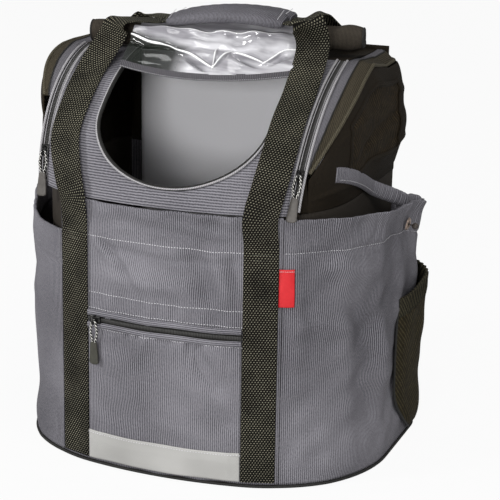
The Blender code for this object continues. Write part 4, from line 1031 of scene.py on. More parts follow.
# %% Inner hems
@both
def inner_hem(side, word):
    """A rounded oblong along the cabin's line, then out to the rim in a smooth turn."""
    line = cabin[side]
    first, last = line.reach(1, -0.062), line.reach(1, 0.082)
    share = linspace(0, 1, 60)
    reach = min(0.022, half_width - hood_half[side] - 4 * pocket_cloth)
    leave = np.maximum(0.0, (share - 0.60) / 0.40)
    path = line.places(side * (first + (last - first) * share), gap + 0.0022 + reach * leave ** 2 * (3 - 2 * leave),
                       0.314 - 0.059 * share ** 1.3)
    corner = np.array([(0.1835, 0.096, 0.2535), (0.1885, 0.1045, 0.2515), (0.1920, 0.1030, 0.2500),
                       (0.1925, 0.0930, 0.2490), (0.1932, 0.0800, 0.2470)]) - (0.002 * (side < 0), 0, 0)
    turn = smooth_path(np.vstack([path[[-9, -1]], corner * (side, 1, 1)]), 14)
    after = np.argmin(np.linalg.norm(turn - path[-1], axis=1)) + 1
    path = resample(np.vstack([path, turn[after:]]), 0.0020)
    walk = ring_length(path)
    run = walk / walk[-1]
    gather = 0.5 + 0.5 * np.sin(2 * pi * walk / 0.0068 + 1.5 * np.sin(walk * 120))
    gather = gather * (0.35 + 0.65 * ramp(run, 0.45, 0.3))
    taper = 1 - 0.80 * ramp(run, 0.78, 0.22) ** 1.5
    thick = (0.86 + 0.34 * gather) * taper * (1 + 0.5 * ramp(run, 0.35, 0.25))
    ring = join(*oblong(24, 0.7, 0.9)[1:]) * (0.0080, 0.0026)
    profile = ring[None] * join((0.97 + 0.05 * gather) * taper, thick)[:, None]
    sweep(word + "inner_hem_roll", path, UP, profile, grey_lying, stands_for=[word + "pocket_inner_hem"])
    tangent = np.gradient(path, axis=0)
    level = unit(join(tangent[:, 1], -tangent[:, 0], 0.0)) * side
    stitches(word + "inner_hem_stitches", (path + level * 0.0026 + (0, 0, -0.0048))[3:-34], level[3:-34], thread)


print("inner hems ready")

# %% [markdown]
# The rear quarter of each side carries a net pocket with an elastic top. It could be
# woven thread by thread, but a thin grid with the net's finish looks the same from here
# and stays light.

# %% Net pockets
@both
def net_pocket(side, word):
    """The bag's outer line, pushed out by half a sine; its front edge curves back at the foot."""
    first, last = outer.reach(1, 0.031), pocket_ends[side] - wall
    share, rise = linspace(0, 1, 130)[:, None], linspace(0, 1, 64)[None]
    start = first + 0.050 * ramp(rise, 0.42, -0.42) ** 2.2 + 0.006 * ramp(rise, 0.6, 0.4) ** 2
    d = start + (last - start) * share
    solid_share = (d - first) / (last - first)
    bulge = 0.011 * np.sin(pi * ramp(solid_share, 0)) ** 0.5 * rise ** 0.5 * ramp(share, 0, 0.10) ** 0.5
    z = 0.0075 + (0.1555 + 0.019 * solid_share) * rise
    slack = 0.0012 * ripples(d, z, 0.05, 50 + side) * np.sin(pi * share) * np.sin(pi * rise)
    gathers = 0.0010 * np.sin(2 * pi * (d + z * 0.35) / 0.0062) * ramp(rise, 0.84, 0.06)
    out = gap + 0.0023 + bulge + belly(side, d, z)
    place = outer.places(side * d, out + slack + gathers, z)
    cloth(word + "net_bag", place[:, :57], pocket_net, 0.0009, uv=join(d, z)[:, :57],
          stands_for=[word + "mesh_pocket"])
    cloth(word + "net_hem", outer.places(side * d, out + gathers + 0.0006, z)[:, 55:], elastic, 0.0022,
          uv=join(d + z * 0.45, z)[:, 55:])
    sweep(word + "net_edge", outer.places(side * d[0], belly(side, d[0], z[0]) + gap + 0.0020, z[0]), (side, 0, 0),
          circle(1, 8) * (0.0013, 0.0020), binding)


print("net pockets ready")


# %% [markdown]
# ## Walls inside and at the back, and the base
# The cabin's side walls are dark cloth, and the back is stiff, with a pale lining. The
# base is a flat panel with a bound edge that rounds under the walls. They are stiff or
# pulled tight, so they need no folds of their own: plain grids along the lines in plan
# are enough, and stay fitted to the rest.

# %% Cabin walls, back and base
@both
def side_wall(side, word):
    """The cabin's line raised to a wall, with ripples that fade at its foot and top."""
    top = waist_height + 0.0030
    d, z = mesh_grid(linspace(0, cabin[side].length, 90), linspace(foot, top, 40))
    ease = np.sin(pi * (z - foot) / (top - foot))
    out = (0.0005 * ripples(d, z, 0.06, 60 + side) - 0.0006) * ease - 0.0006
    cloth(word + "wall_lining", cabin[side].places(side * d, out, z), inner_dark, wall - 0.0012, uv=join(d, z),
          stands_for=[word + "side_wall"])


def flat_cloth(name, left, right, z0, z1, y, thickness, finish, node, wave=0.0006):
    """An upright flat layer whose rear face lies at y, with slight slackness."""
    x, z = mesh_grid(linspace(-left, right, 60), linspace(z0, z1, 60))
    ease = np.sin(pi * (x + left) / (left + right)) * np.sin(pi * (z - z0) / (z1 - z0))
    cloth(name, join(x, y + wave * (ripples(x, z, 0.08, len(name)) - 1.2) * ease, z), finish, thickness,
          facing=lambda p: (0, 1, 0), uv=join(x, z), stands_for=[node])


liner_half = min(back_half.values()) - wall
flat_cloth("back_cloth", back_half[-1] + 0.003, back_half[1] + 0.003, foot, waist_height, back_reach, 0.0034, grey,
           "back_wall", 0.0003)
flat_cloth("hood_back_cloth", back_half[-1] + 0.001, back_half[1] + 0.001, waist - 0.001, hood_height - 0.0004,
           back_reach, wall - 0.0006, dark, "hood_back")
flat_cloth("back_lining_cloth", liner_half, liner_half, 0.0086, hood_height - hood_cloth - 3 * wall,
           cabin_back - stiffener - gap, lining - 0.0004, pale_lining, "back_lining")


def base_ring(out):
    """The foot's outline all round, following the side pockets' low swell."""
    around = linspace(0, outer.length, 240)
    right, left = (join(*outer.at(side * around, out + belly(side, around, 0.004))) for side in (1, -1))
    return np.vstack([right, left[::-1][1:-1]])


def shrunk(ring, levels):
    """A ring repeated at levels, each with its own scale and height."""
    return join(ring[:, None, 0] * levels[:, 0], ring[:, None, 1] * levels[:, 0], levels[:, 1])


place = shrunk(base_ring(-0.0004), np.array([(1.0, 0.0042), (1.0, 0.0012), (0.997, 0.0003), (0.99, 0.0), (0.6, 0.0),
                                             (0.02, 0.0)]))
place = np.concatenate([place, place[:1]])
cloth("base_cloth", place, dark, 0.0012, facing=lambda p: (p[0], p[1], -0.2), stands_for=["base_panel"],
      uv=place[..., :2])
ring = base_ring(0.0008)
sweep("base_binding", join(ring[:, 0], ring[:, 1], 0.0026), UP, circle(1, 8) * (0.0016, 0.0015), binding, closed=True)
print("walls and base ready")


# %% [markdown]
# ## The floor cushion
# A foam pad in a sewn cover. It is made the way such a pad behaves: a slightly small
# crowned form is blown up as cloth, and the push is capped so that it keeps its place.

# %% Floor cushion
def inside_half(side, margin=0.004):
    """The cabin's inside in plan on one side, from the front's middle, stepped in by a margin."""
    back_line = cabin_back - stiffener - gap - lining - gap - margin
    front = join(*outer.at(linspace(0, front_wall_end * 0.8, 16), -(wall + margin)))
    flank = join(*cabin[side].at(linspace(0.006, cabin[side].length, 80), -(wall + margin)))
    flank = flank[(flank[:, 1] > front[-1, 1]) & (flank[:, 1] < back_line)]
    return np.vstack([front, flank, [(flank[-1, 0], back_line)]]) * (side, 1)


def points_of(mesh):
    """The mesh's places, as an array."""
    flat = np.empty(len(mesh.vertices) * 3, np.float32)
    mesh.vertices.foreach_get("co", flat)
    return flat.reshape(-1, 3)


def frozen(made):
    """The mesh that an object's modifiers give."""
    graph = bpy.context.evaluated_depsgraph_get()
    return bpy.data.meshes.new_from_object(made.evaluated_get(graph))


cushion_foot = floor_cloth + board + 2 * gap
ring = np.vstack([inside_half(1), inside_half(-1)[::-1][:-1]])
ring = resample(np.vstack([ring, ring[:1]]), 0.007)[:-1]
levels = np.array([(0.02, 0.0), (0.5, 0.0), (0.94, 0.0), (0.985, 0.10), (1.0, 0.35), (0.985, 0.62),
                   (0.93, 0.82), (0.78, 0.94), (0.45, 1.0), (0.02, 1.0)])
small = 0.93
levels = join(levels[:, 0] * (small * 0.05 + 0.95), cushion_foot + 0.030 * levels[:, 1] * small)
place = shrunk(ring, levels)
number = numbered(place)
quads = corners_of(np.vstack([number, number[:1]])).reshape(-1, 4)
faces = quads.tolist() + [number[:, 0].tolist(), number[:, -1][::-1].tolist()]
pad_mesh = build_mesh("floor_pad", place.reshape(-1, 3), faces, np.zeros((sum(map(len, faces)), 2)))
a, b, c = (place.reshape(-1, 3)[quads[:, k]] for k in range(3))
if (a * np.cross(b - (0, 0, 0.02), c - (0, 0, 0.02))).sum() < 0:
    pad_mesh.flip_normals()
pad = add_piece("floor_pad", pad_mesh, pad_cloth, "basket", ["floor_cushion"])
most_move, steps = 0.005, 20
remesh = pad.modifiers.new("remesh", "REMESH")
remesh.mode, remesh.voxel_size = "VOXEL", 0.006
pad.data = frozen(pad)
pad.modifiers.clear()
start = points_of(pad.data)
blow = pad.modifiers.new("cloth", "CLOTH")
blow.settings.use_pressure = True
blow.settings.uniform_pressure_force = 4.0
blow.settings.effector_weights.gravity = 0.0
blow.point_cache.frame_start, blow.point_cache.frame_end = 1, steps
for step in range(1, steps + 1):
    bpy.context.scene.frame_set(step)
blown = frozen(pad)
move = points_of(blown) - start
move *= np.minimum(1.0, most_move / np.maximum(np.linalg.norm(move, axis=1, keepdims=True), 1e-9))
ended = start + move * (1, 1, 0.6)
ended[:, 2] = np.maximum(ended[:, 2], cushion_foot + 0.0001)
ended[:, 1] = np.minimum(ended[:, 1], 0.1185)
pad.modifiers.clear()
blown.vertices.foreach_set("co", ended.astype(np.float32).ravel())
blown.materials.clear()
blown.materials.append(pad_cloth.material)
blown.shade_smooth()
pad.data = blown
bpy.context.scene.frame_set(1)
print("cushion", len(pad.data.vertices), "points")

# %% [markdown]
# ## The hood
# The cover is sewn between two curved zips, with a U-shaped opening for the head.
# Cutting a hole in a square grid would leave steps in its edge. So the grid's lines run
# from the opening's rim out to the zips and the waist, and the rim is a clean curve
# that a piping can follow.

# %% Front cover and its piped opening
u, v = linspace(0, 20, 241), linspace(0, 1, 30)[None]
bend = ramp(u, 4, 12) * pi
rim_x = -0.088 * np.cos(bend)
rim_share = 0.45 - 0.35 * np.sin(bend) + 0.55 * (ramp(u, 4, -4) + ramp(u, 16, 4))
left, right = (zip_offset[side] - zip_width / 2 - gap for side in (-1, 1))
edge_x, edge_share = (left + right) * ramp(u, 7, 6) - left, ramp(u, 7, -7) + ramp(u, 13, 7)
x = rim_x[:, None] + (edge_x - rim_x)[:, None] * v
share = rim_share[:, None] + (edge_share - rim_share)[:, None] * v
slack = 0.0006 * ripples(x, share * 0.15, 0.05, 31) + folds(x, share, [
    (-0.100, 0.10, -0.060, 0.16, 0.02, 0.0010), (0.030, 0.05, 0.090, 0.25, 0.016, 0.0014),
    (0.060, 0.03, 0.110, 0.30, 0.014, -0.0012), (-0.02, 0.03, 0.03, 0.05, 0.02, 0.0010)])
place = cover(x, share, slack * np.sin(pi * v) ** 0.7)
cloth("front_cover_cloth", place, grey_lying, hood_cloth * 0.6, facing=lambda p: (0, -1, 1),
      uv=join(x, share * 0.17), stands_for=["front_cover"])
rim_out = cover(rim_x, rim_share, 0.01) - cover(rim_x, rim_share)
sweep("opening_binding", cover(rim_x, rim_share, 0.0004), rim_out, circle(0.0022), binding)
sweep("opening_piping", cover(rim_x, rim_share, 0.0014) + (place[:, 2] - place[:, 0]) * 0.30, rim_out,
      circle(0.0013, 8), piping)
print("cover", place.shape[:2])


# %% [markdown]
# Beside the zips, each side of the hood is a dark panel with a net vent. It rises from
# the cabin's line to the zip's arc. The vent's faces are left out of its grid and a net
# is laid behind them, which keeps the hole and the net in step when the panel puffs
# out.

# %% Hood sides
def band_start(side):
    """Where the band begins: its x, and the distance along the cabin's line."""
    band_edge = zip_offset[side] + zip_width / 2 + gap
    return band_edge, cabin[side].reach(0, band_edge + hood_cloth)


def bulge_left(side, y):
    """The left side's outward bulge: a sine over the bag's depth."""
    share = (y + front_reach) / (front_reach + back_reach)
    return 0.0085 * np.sin(pi * ramp(share, 0, 0.9)) ** 0.8 * (side < 0)


@both
def hood_panel(side, word):
    """The cabin's line raised to the zip's arc, puffed out by sines and folds."""
    line, arc_line = cabin[side], zips[side]
    start = band_start(side)[1]
    span = line.length - start
    vent_share, vent_rise = (0.24, 0.84), (0.24, 0.86)
    d = np.sort(np.r_[linspace(start, line.length, 70), [start + span * k for k in vent_share]])
    rows = np.sort(np.r_[linspace(0, 1, 50), vent_rise])
    y = line.at(d)[1]
    end_y = arc_line.at(1.0)[0]
    reach = arc_line.radius - hood_cloth - 2 * gap
    top = np.where(y >= end_y, hood_height - hood_cloth - 2 * gap,
                   arc_line.centre[1] + np.sqrt(np.maximum(0, reach ** 2 - (y - arc_line.centre[0]) ** 2)))
    top = top - 0.0100 * ramp(y, end_y, 0.055) * (side > 0)
    dd, v = mesh_grid(d, rows)
    z = waist + (top[:, None] - waist) * v
    share = (dd - start) / span
    ends = ramp(share, 0, 0.22) ** 0.8 * ramp(share, 1, -0.085) ** 0.6
    rear = ramp(share, 0.45, 0.4) if side > 0 else np.clip((0.75 - share) / 0.4, 0.4, 1)
    puff = (0.00975 + 0.00025 * side) * np.sin(pi * ramp(v, 0.06, 0.94)) ** 0.8 * ends * (0.45 + 0.55 * rear)
    crumple = folds(share, v, [(0.2, 0.85, 0.6, 0.55, 0.05, 0.0036), (0.3, 0.35, 0.9, 0.62, 0.05, -0.0034),
                               (0.5, 0.9, 0.95, 0.75, 0.04, 0.0030), (0.05, 0.3, 0.4, 0.12, 0.05, 0.0024),
                               (0.60, 0.20, 0.98, 0.34, 0.035, 0.0030)])
    puff = puff + (crumple + 0.0012 * ripples(dd, z, 0.06, 70 + side)) * np.sin(pi * v) ** 0.5
    place = line.places(side * dd, puff + bulge_left(side, y)[:, None] * v ** 0.7, z)
    uv = join(dd, z)
    (first, last), (low, high) = ([int(np.argmin(np.abs(line - k))) for k in limits]
                                  for line, limits in ((share[:, 0], vent_share), (rows, vent_rise)))
    hole = np.zeros(share.shape, bool)
    hole[first:last, low:high] = True
    cloth(word + "hood_panel", place, dark, hood_cloth * 0.5, uv=uv, hole=hole, stands_for=[word + "hood_side"])
    vent, wide = place[first:last + 1, low:high + 1], np.s_[first - 1:last + 2, low - 1:high + 2]
    cloth(word + "vent_cloth", place[wide] - (side * 0.0010, 0, 0), vent_net, 0.0003, uv=uv[wide],
          stands_for=[word + "vent_mesh"])
    around = np.vstack([vent[0, :], vent[1:, -1], vent[-1, ::-1][1:], vent[::-1, 0][1:-1]])
    sweep(word + "vent_binding", around, (side, 0, 0), circle(1, 8) * (0.0012, 0.0026), dark, closed=True)


print("hood sides ready")


# %% [markdown]
# Along each zip runs a band, half grey and half darker, with light pipings. It could be
# one strip with a painted line, but a seam has two cloths and a bead between them, so
# it is two grids cut from the same places. The zip's tape, coil and stitches are
# carried along the same arc.

# %% Hood bands and zips
@both
def hood_band(side, word):
    """Along the zip's arc up to t = 1, then level to the back; grey, then tan past the cut."""
    line, arc_line = cabin[side], zips[side]
    band_edge, start = band_start(side)
    start_y = float(line.at(start)[1])
    end_y, end_z = arc_line.at(1.0)
    t = np.r_[linspace(0, 1, 60), linspace(1.03, 2, 40)]
    first = arc_line.share_at_y(start_y)
    y, z = arc_line.at(first + (1 - first) * np.minimum(t, 1))
    y = np.where(t > 1, end_y + (back_reach - gap - end_y) * (t - 1), y)
    z = np.where(t > 1, end_z, z)
    across = linspace(0, 1, 16)[None]
    limit = np.interp(y, line.points[:, 1], line.points[:, 0])
    limit = np.where(y >= cabin_back, back_half[side], limit)[:, None]
    rear = ramp(y, end_y, 0.055)[:, None] * (side > 0)
    x = band_edge + (limit - band_edge + bulge_left(side, y)[:, None]) * across - rear * 0.0040 * across ** 2
    walk = ring_length(join(y, z))
    lean = join(np.gradient(z, walk), -np.gradient(y, walk))
    out = (0.0016 * np.sin(pi * across) * ramp(limit, band_edge, 0.02) - 0.0022 * across ** 4
           - rear * (0.0045 + 0.0060 * across ** 2) + 0.0004 * ripples(walk[:, None], across, 0.05, 80 + side))
    place = join(side * x, y[:, None] - lean[:, :1] * out, z[:, None] - lean[:, 1:] * out)
    uv = join(x - band_edge, walk[:, None])
    cut = 7
    cloth(word + "band_inner", place[:, :cut + 1], grey_fine, hood_cloth * 0.7, facing=upward,
          uv=uv[:, :cut + 1], stands_for=[word + "hood_band"])
    cloth(word + "band_outer", place[:, cut:], band_tan, hood_cloth * 0.7, facing=upward, uv=uv[:, cut:])
    normal = join(0.0, -lean[:, 0], -lean[:, 1])
    sweep(word + "band_seam", place[:, cut] + normal * 0.0004, normal, circle(0.0008, 6), binding)
    sweep(word + "outer_piping", place[:, -1] + normal * 0.0003, normal, circle(0.0019, 8), edge_tape)
    gy, climb = linspace(arc_line.at(0.0)[0], start_y, 26)[:, None], linspace(0, 1, 20)[None]
    top = arc_line.at(arc_line.share_at_y(gy))[1] - 0.0010
    foot_x = np.interp(gy, line.points[:, 1], line.points[:, 0])
    gusset = join(side * (foot_x + (band_edge + 0.0004 - foot_x) * climb ** 0.8), gy, waist + (top - waist) * climb)
    cloth(word + "hood_gusset", gusset, dark, 0.0008, uv=gusset[..., 1:])


@both
def side_zip(side, word):
    """A tape and a coil along the zip's arc, with a stitch and a piping on both sides."""
    arc_line, flat = zips[side], np.array([side, 0, 0])
    y, z = arc_line.at(linspace(0.02, 0.995, 150))
    radial = join(0.0, y - arc_line.centre[0], z - arc_line.centre[1]) / arc_line.radius
    middle = join(side * zip_offset[side], y, z)
    cloth(word + "zip_cloth", middle[:, None] + flat * linspace(-0.5, 0.5, 8)[None, :, None] * zip_width
          - radial[:, None] * 0.0006, binding, 0.0012, facing=upward, stands_for=[word + "zip_tape"])
    sweep(word + "zip_coil", middle - radial * 0.0002, radial, circle(1) * (0.0009, 0.0016), coil)
    for way, stitch, cord in ((-1, "zip_stitch_in", "cover_piping"), (1, "zip_stitch_out", "band_piping")):
        sweep(word + stitch, middle + flat * way * 0.0026 + radial * 0.0004, radial, circle(0.0005, 6), piping)
        sweep(word + cord, middle + flat * way * (zip_width / 2 + 0.0006) + radial * 0.0012, radial,
              circle(0.0013, 8), piping)


print("bands and zips ready")

# %% [markdown]
# The roof behind the mouth is plain dark cloth that sags a little between its seams.
# The roll covers most of it, so one grid with a slow wave is enough.

# %% Roof
left, right = (zip_offset[side] + zip_width / 2 for side in (-1, 1))
x, t = mesh_grid(linspace(-left, right, 70), linspace(0, 1, 40))
front = zip_end[-1] + (zip_end[1] - zip_end[-1]) * (x + left) / (left + right) + gap + hood_cloth / 2
y = front + (back_reach - gap - front) * t
sag = 0.0006 * ripples(x, y, 0.05, 90) - 0.003 * np.cos((x / left) * pi / 2)
z = np.minimum(hood_height + sag * np.sin(pi * t), hood_height + 0.0002)
z = z - 0.0045 * ramp(x, 0.05, 0.07) * ramp(t, 0.25, 0.6)
cloth("roof_cloth", join(x, y, z), dark, hood_cloth * 0.7, facing=upward, uv=join(x, y), stands_for=["hood_roof"])
print("roof", x.shape)

# %% [markdown]
# ## The rolled window
# The clear window unzips and rolls back. The roll is one long sheet wound round itself,
# and its last stretch hangs crumpled in front of it. A solid bar would be quicker, but
# its ends would show no turns. A spiral in the roll's own plane, radius falling with
# the angle, is carried along the roll's axis, and its length is measured as it is made.

# %% Rolled edge
roll_radius, roll_turn = 0.0155, math.radians(11.7)
roll_centre = np.array([0.001, 0.029, hood_height + gap + roll_radius])
axis = np.array([math.cos(roll_turn), math.sin(roll_turn), 0.0])
sideways = np.array([-math.sin(roll_turn), math.cos(roll_turn), 0.0])


def roll_line(x):
    """The y of the roll's axis at x: centre + (x - centre) * tan(turn)."""
    return roll_centre[1] + (x - roll_centre[0]) * math.tan(roll_turn)


def roll_sheet(name, first, last, turns, radius, pitch, finish, thickness, stands_for=()):
    """A spiral carried along the roll's axis: radius - pitch * turns walked, with slow ripples."""
    angle = linspace(0, 2 * pi * turns, int(46 * turns) + 8)[None]
    s = linspace(first, last, max(24, int(abs(last - first) / 0.003)))[:, None]
    slack = np.minimum(1.0, 1 + 0.04 * np.sin(s * 75 + 1) + 0.03 * np.sin(s * 160))
    ripple = 0.0006 * np.sin(s * 220 + angle * 2.0) + 0.0007 * np.sin(s * 90 + angle)
    full = 0.90 + 0.10 * ramp(np.abs(s), 0.14, -0.014) ** 0.5
    reach = ((radius - pitch * angle / (2 * pi)) * full + ripple) * slack
    p, q = reach * np.cos(angle - 1.05), reach * np.sin(angle - 1.05) * (0.95 + 0.04 * np.cos(s * 60))
    q = q + 0.003 * ramp(s, 0, 0.14) ** 2
    place = roll_centre + axis * s[..., None] + sideways * p[..., None] + UP * q[..., None]
    walk = walked(place)
    made = cloth(name, place, finish, thickness, uv=join(s, walk), stands_for=stands_for, centred=True,
                 facing=lambda p: p - roll_centre - axis * np.dot(p - roll_centre, axis))
    return place


for k, label, first, last, node in ((0, "left", -0.14, -0.083, ["window_roll"]), (-1, "right", 0.083, 0.14, ())):
    place = roll_sheet("rolled_lid_" + label, first, last, 3.25, roll_radius - 0.0008, 0.0034, lid_cloth, 0.0010,
                       node)
    sweep("roll_edge_" + label, place[k] - axis * 0.0004 * (1 + 2 * k), axis, circle(0.0012, 6), binding)
roll_sheet("rolled_window", -0.084, 0.084, 2.25, roll_radius - 0.0005, 0.0038, layers, 0.0008)

# %% [markdown]
# The stretch before the roll is clear, soft and crumpled: sharp ridges that meet in V
# shapes, between slack pockets. A simulation would crumple it in a way of its own, so a
# list of creases says where each ridge runs. The sheet's lower edge carries the zip's
# tape.

# %% Clear window
creases = [
    (-0.085, 0.022, -0.040, 0.029, 0.0016, 0.0038), (-0.040, 0.029, 0.008, 0.049, 0.0016, 0.0046),
    (0.008, 0.049, 0.021, 0.032, 0.0014, 0.0042), (0.0065, 0.029, 0.0075, 0.047, 0.0012, 0.0036),
    (0.023, 0.032, 0.058, 0.045, 0.0016, 0.0042), (0.058, 0.045, 0.074, 0.032, 0.0016, 0.0044),
    (0.074, 0.032, 0.090, 0.029, 0.0015, 0.0040), (-0.070, 0.012, 0.080, 0.015, 0.0018, 0.0020),
    (-0.022, 0.041, 0.002, 0.0515, 0.0020, -0.0036), (0.027, 0.038, 0.054, 0.0490, 0.0018, -0.0036),
    (-0.030, 0.006, 0.060, 0.007, 0.0014, -0.0018), (0.064, 0.047, 0.086, 0.036, 0.0016, -0.0028),
    (-0.030, 0.020, 0.040, 0.023, 0.0016, -0.0012)]
window_width, window_fall = 0.175, 0.055


def vinyl_place(x, t):
    """Over the roll's front, then a fall: height = bulge * sin(2 pi t) - fall * t^2 + creases."""
    hang, over = np.maximum(t, 0), ramp(t, 0, -0.3)
    y = roll_line(x) - (roll_radius + gap) / math.cos(roll_turn) + roll_radius * (0.62 * over - 2.9 * hang)
    z = roll_centre[2] + roll_radius * (0.62 * np.sin(pi * ramp(t, 0, 0.5)) - 1.78 * hang ** 2 + 0.92 * over)
    z = z + 0.006 * bell(t, -0.02, 0.2)
    ease = ramp(t, 0, 0.12) * ramp(t, 1, -0.10)
    lift = (folds(x, hang * window_fall, creases) + 0.0020 * ripples(x, hang * window_fall, 0.040, 101)) * ease
    sag = 0.0015 * hang - np.where(x < 0, 0.0120, 0.0075) * (x / 0.085) ** 2 * hang ** 1.5
    return join(x, y - lift * 0.7, z - sag + lift * 0.8)


def crease_mark(x, t, sign, spread):
    """How near a crease of one sign a place is, from 0 to 1."""
    lines = [(a, b, c, d, w * spread, abs(h) / 0.0042) for a, b, c, d, w, h in creases if h * sign > 0]
    return np.clip(folds(x, np.maximum(t, 0) * window_fall, lines), 0, 1)


x, t = mesh_grid(linspace(-0.082, 0.088, 260), linspace(-0.3, 1, 120))
place = vinyl_place(x, t)
vinyl = cloth("window_sheet", place, clear, 0.0005, facing=upward, stands_for=["window_vinyl"], centred=True)
veil = np.clip(np.maximum((x + 0.036) / 0.02, (0.38 + 2.8 * (x + 0.085) - t) / 0.10), 0, 1)
# The first two marks carry painted light: a painted highlight on the ridges and painted shade in the dents.
for key, values in (("painted_glint", crease_mark(x, t, 1, 0.42)), ("shade", crease_mark(x, t, -1, 0.8)), ("veil", veil)):
    vinyl.data.attributes.new(key, "FLOAT", "POINT").data.foreach_set("value", values.astype(np.float32).ravel())
steps_x, steps_t = place[1:, :-1] - place[:-1, :-1], place[:-1, 1:] - place[:-1, :-1]
lower = place[:, -1]
sweep("window_zip_tape", lower + (0, -0.0006, -0.0026), (0, 0.3, 1), circle(1, 8) * (0.0036, 0.0007), zip_grey)
stitches("window_zip_teeth", lower + (0, -0.0018, -0.0050), (0, -1, 0.3), thread, pitch=0.0019,
         size=(0.0010, 0.0013, 0.0006))

# %% [markdown]
# ## Webbing loops and grips
# One long webbing runs from the base up the front, comes free at a sewn box, passes
# over the hood, folds into the grip and goes down the other side. The path is a short
# list of controls with a smooth curve through them. A control is a right place, a left
# place, the direction across the band and its width.

# %% Front and rear webbing
grip_length, grip_width, grip_height, grip_shift, grip_arch = 0.126, 0.022, 0.009, 0.009, 0.0068
lean = math.tan(math.radians(3.0))
grip_z = hood_height + 2 * roll_radius + gap + gap + grip_height / 2 + grip_length / 2 * lean
grip_y = {"front": 0.008, "rear": 0.034}
hinge_z, roll_z, over = strap_top + 0.002, hood_height + roll_radius, hood_height + 2 * webbing_thickness
narrow, mid_width = 0.018, 0.026
foot_out = gap + webbing_thickness / 2
foot_x, foot_y = outer.at(strap_centre, foot_out)
foot_side = unit(np.subtract(outer.at(strap_edge), outer.at(panel_half)))
along_foot = (*foot_side, 0)
sewn_heights = linspace(strap_foot, strap_top - 0.004, 8)


def mirror(place):
    """The same place on the other side, (-x, y, z)."""
    return np.array(place, float) * (-1, 1, 1)


def even(place, across, width=webbing_width):
    """A control with the same place on both sides."""
    return place, mirror(place), across, width


def in_grip(which, reach, step_y=0.0, across=(0, 1, 0), width=narrow):
    """A control inside or just beside the grip."""
    up = grip_arch * max(0.0, 1 - (2 * reach / grip_length) ** 2) - 0.0055
    right, left = ((grip_shift + k * reach, grip_y[which] + step_y, grip_z + up + (grip_shift + k * reach) * lean)
                   for k in (1, -1))
    return right, left, across, width


def leg(share, lift):
    """A control of the front webbing where it lies on the cover."""
    settle = min(1.0, share / 0.30)
    right, left = (cover(side * (foot_x + (leg_x - foot_x) * settle), share, 0.004 + lift)
                   for side, leg_x in ((1, 0.103), (-1, 0.117)))
    return right, left, (1, foot_side[1] / foot_side[0] * (1 - share), 0), webbing_width


def webbing_loop(which, controls, hinge_y):
    """A band from the right foot over the grip to the left foot, bent at the waist."""
    end = grip_length / 2 + 0.002
    step = 0.001 if which == "rear" else -0.001
    controls = controls + [in_grip(which, end + webbing_width / 3, step, (-200 * step, 1, 0), mid_width)]
    controls += [in_grip(which, reach) for reach in (end, grip_length / 4, 0)]
    rows = [[*right, *across, width] for right, left, across, width in controls]
    rows += [[*left, *mirror(across), width] for right, left, across, width in controls[-2::-1]]
    rows = smooth_path(rows, 8)
    profile = strip_profile(1.0, 1.0)[None] * join(rows[:, 6], webbing_thickness)[:, None]
    profile[..., 1] = strip_profile(webbing_width, webbing_thickness)[:, 1]
    band = sweep(which + "_webbing", rows[:, :3], rows[:, 3:6], profile, webbing,
                 stands_for=[which + "_handle", "left_%s_strap" % which, "right_%s_strap" % which], sharp=70)
    band.parent = None
    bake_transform(band)
    print(which, "webbing points", len(rows))


def before_roll(side):
    """The y at which the webbing clears the roll's front and the grip's seam on one side."""
    return min(grip_y["front"] - 0.002, roll_line(side * strap_edge) - roll_radius - 0.010)


webbing_loop(
    "front", [even((*outer.at(strap_centre, foot_out + 0.0002), z), along_foot) for z in sewn_heights] + [
        even((foot_x, foot_y, hinge_z + 0.004), along_foot), even((foot_x, foot_y - 0.004, waist_height), along_foot),
        leg(0.12, 0.002), leg(0.30, 0.002), leg(0.50, 0.001), leg(0.70, 0.001),
        ((strap_centre + 0.002, before_roll(1), roll_z), (-strap_centre - 0.006, before_roll(-1), roll_z),
         (1, 0.1, 0), webbing_width),
        ((strap_centre - 0.002, grip_y["front"] - grip_width / 2, grip_z + 0.002),
         (-strap_centre + 0.002, grip_y["front"] - grip_width, grip_z - 0.008), (0.8, 0.6, 0), webbing_width)],
    float(outer.at(panel_half, webbing_thickness + 2 * gap)[1]))

rear_y, behind, level_back = back_reach + gap + 1.2 * webbing_thickness, 2.4 * roll_radius, (-1, 0, 0)
webbing_loop(
    "rear", [even((strap_centre, y, z), level_back) for y, z in (
        *((back_reach + foot_out, z) for z in (*sewn_heights, hinge_z + 0.004)),
        (rear_y, (hinge_z + hood_height) / 2), (rear_y, hood_height - 0.008), (back_reach - 0.002, over),
        (back_reach - webbing_width / 2, over))] + [
        ((strap_centre, roll_line(strap_centre) + behind, roll_z),
         (-strap_centre, roll_line(-strap_centre) + behind, roll_z), level_back, webbing_width),
        ((strap_centre - 0.002, grip_y["rear"] + grip_width, grip_z + 0.002),
         (-strap_centre + 0.008, grip_y["rear"] + 0.006, grip_z - 0.010), (-0.6, 0.6, 0), narrow)], rear_y)

# %% [markdown]
# Each grip is a padded sleeve: full in the middle, pinched at its stitched ends.
# Blown-up cloth would give the same form with less say over the pinch, so it is a
# rounded oblong carried along a low arch, z = rest + arch * (1 - s * s).

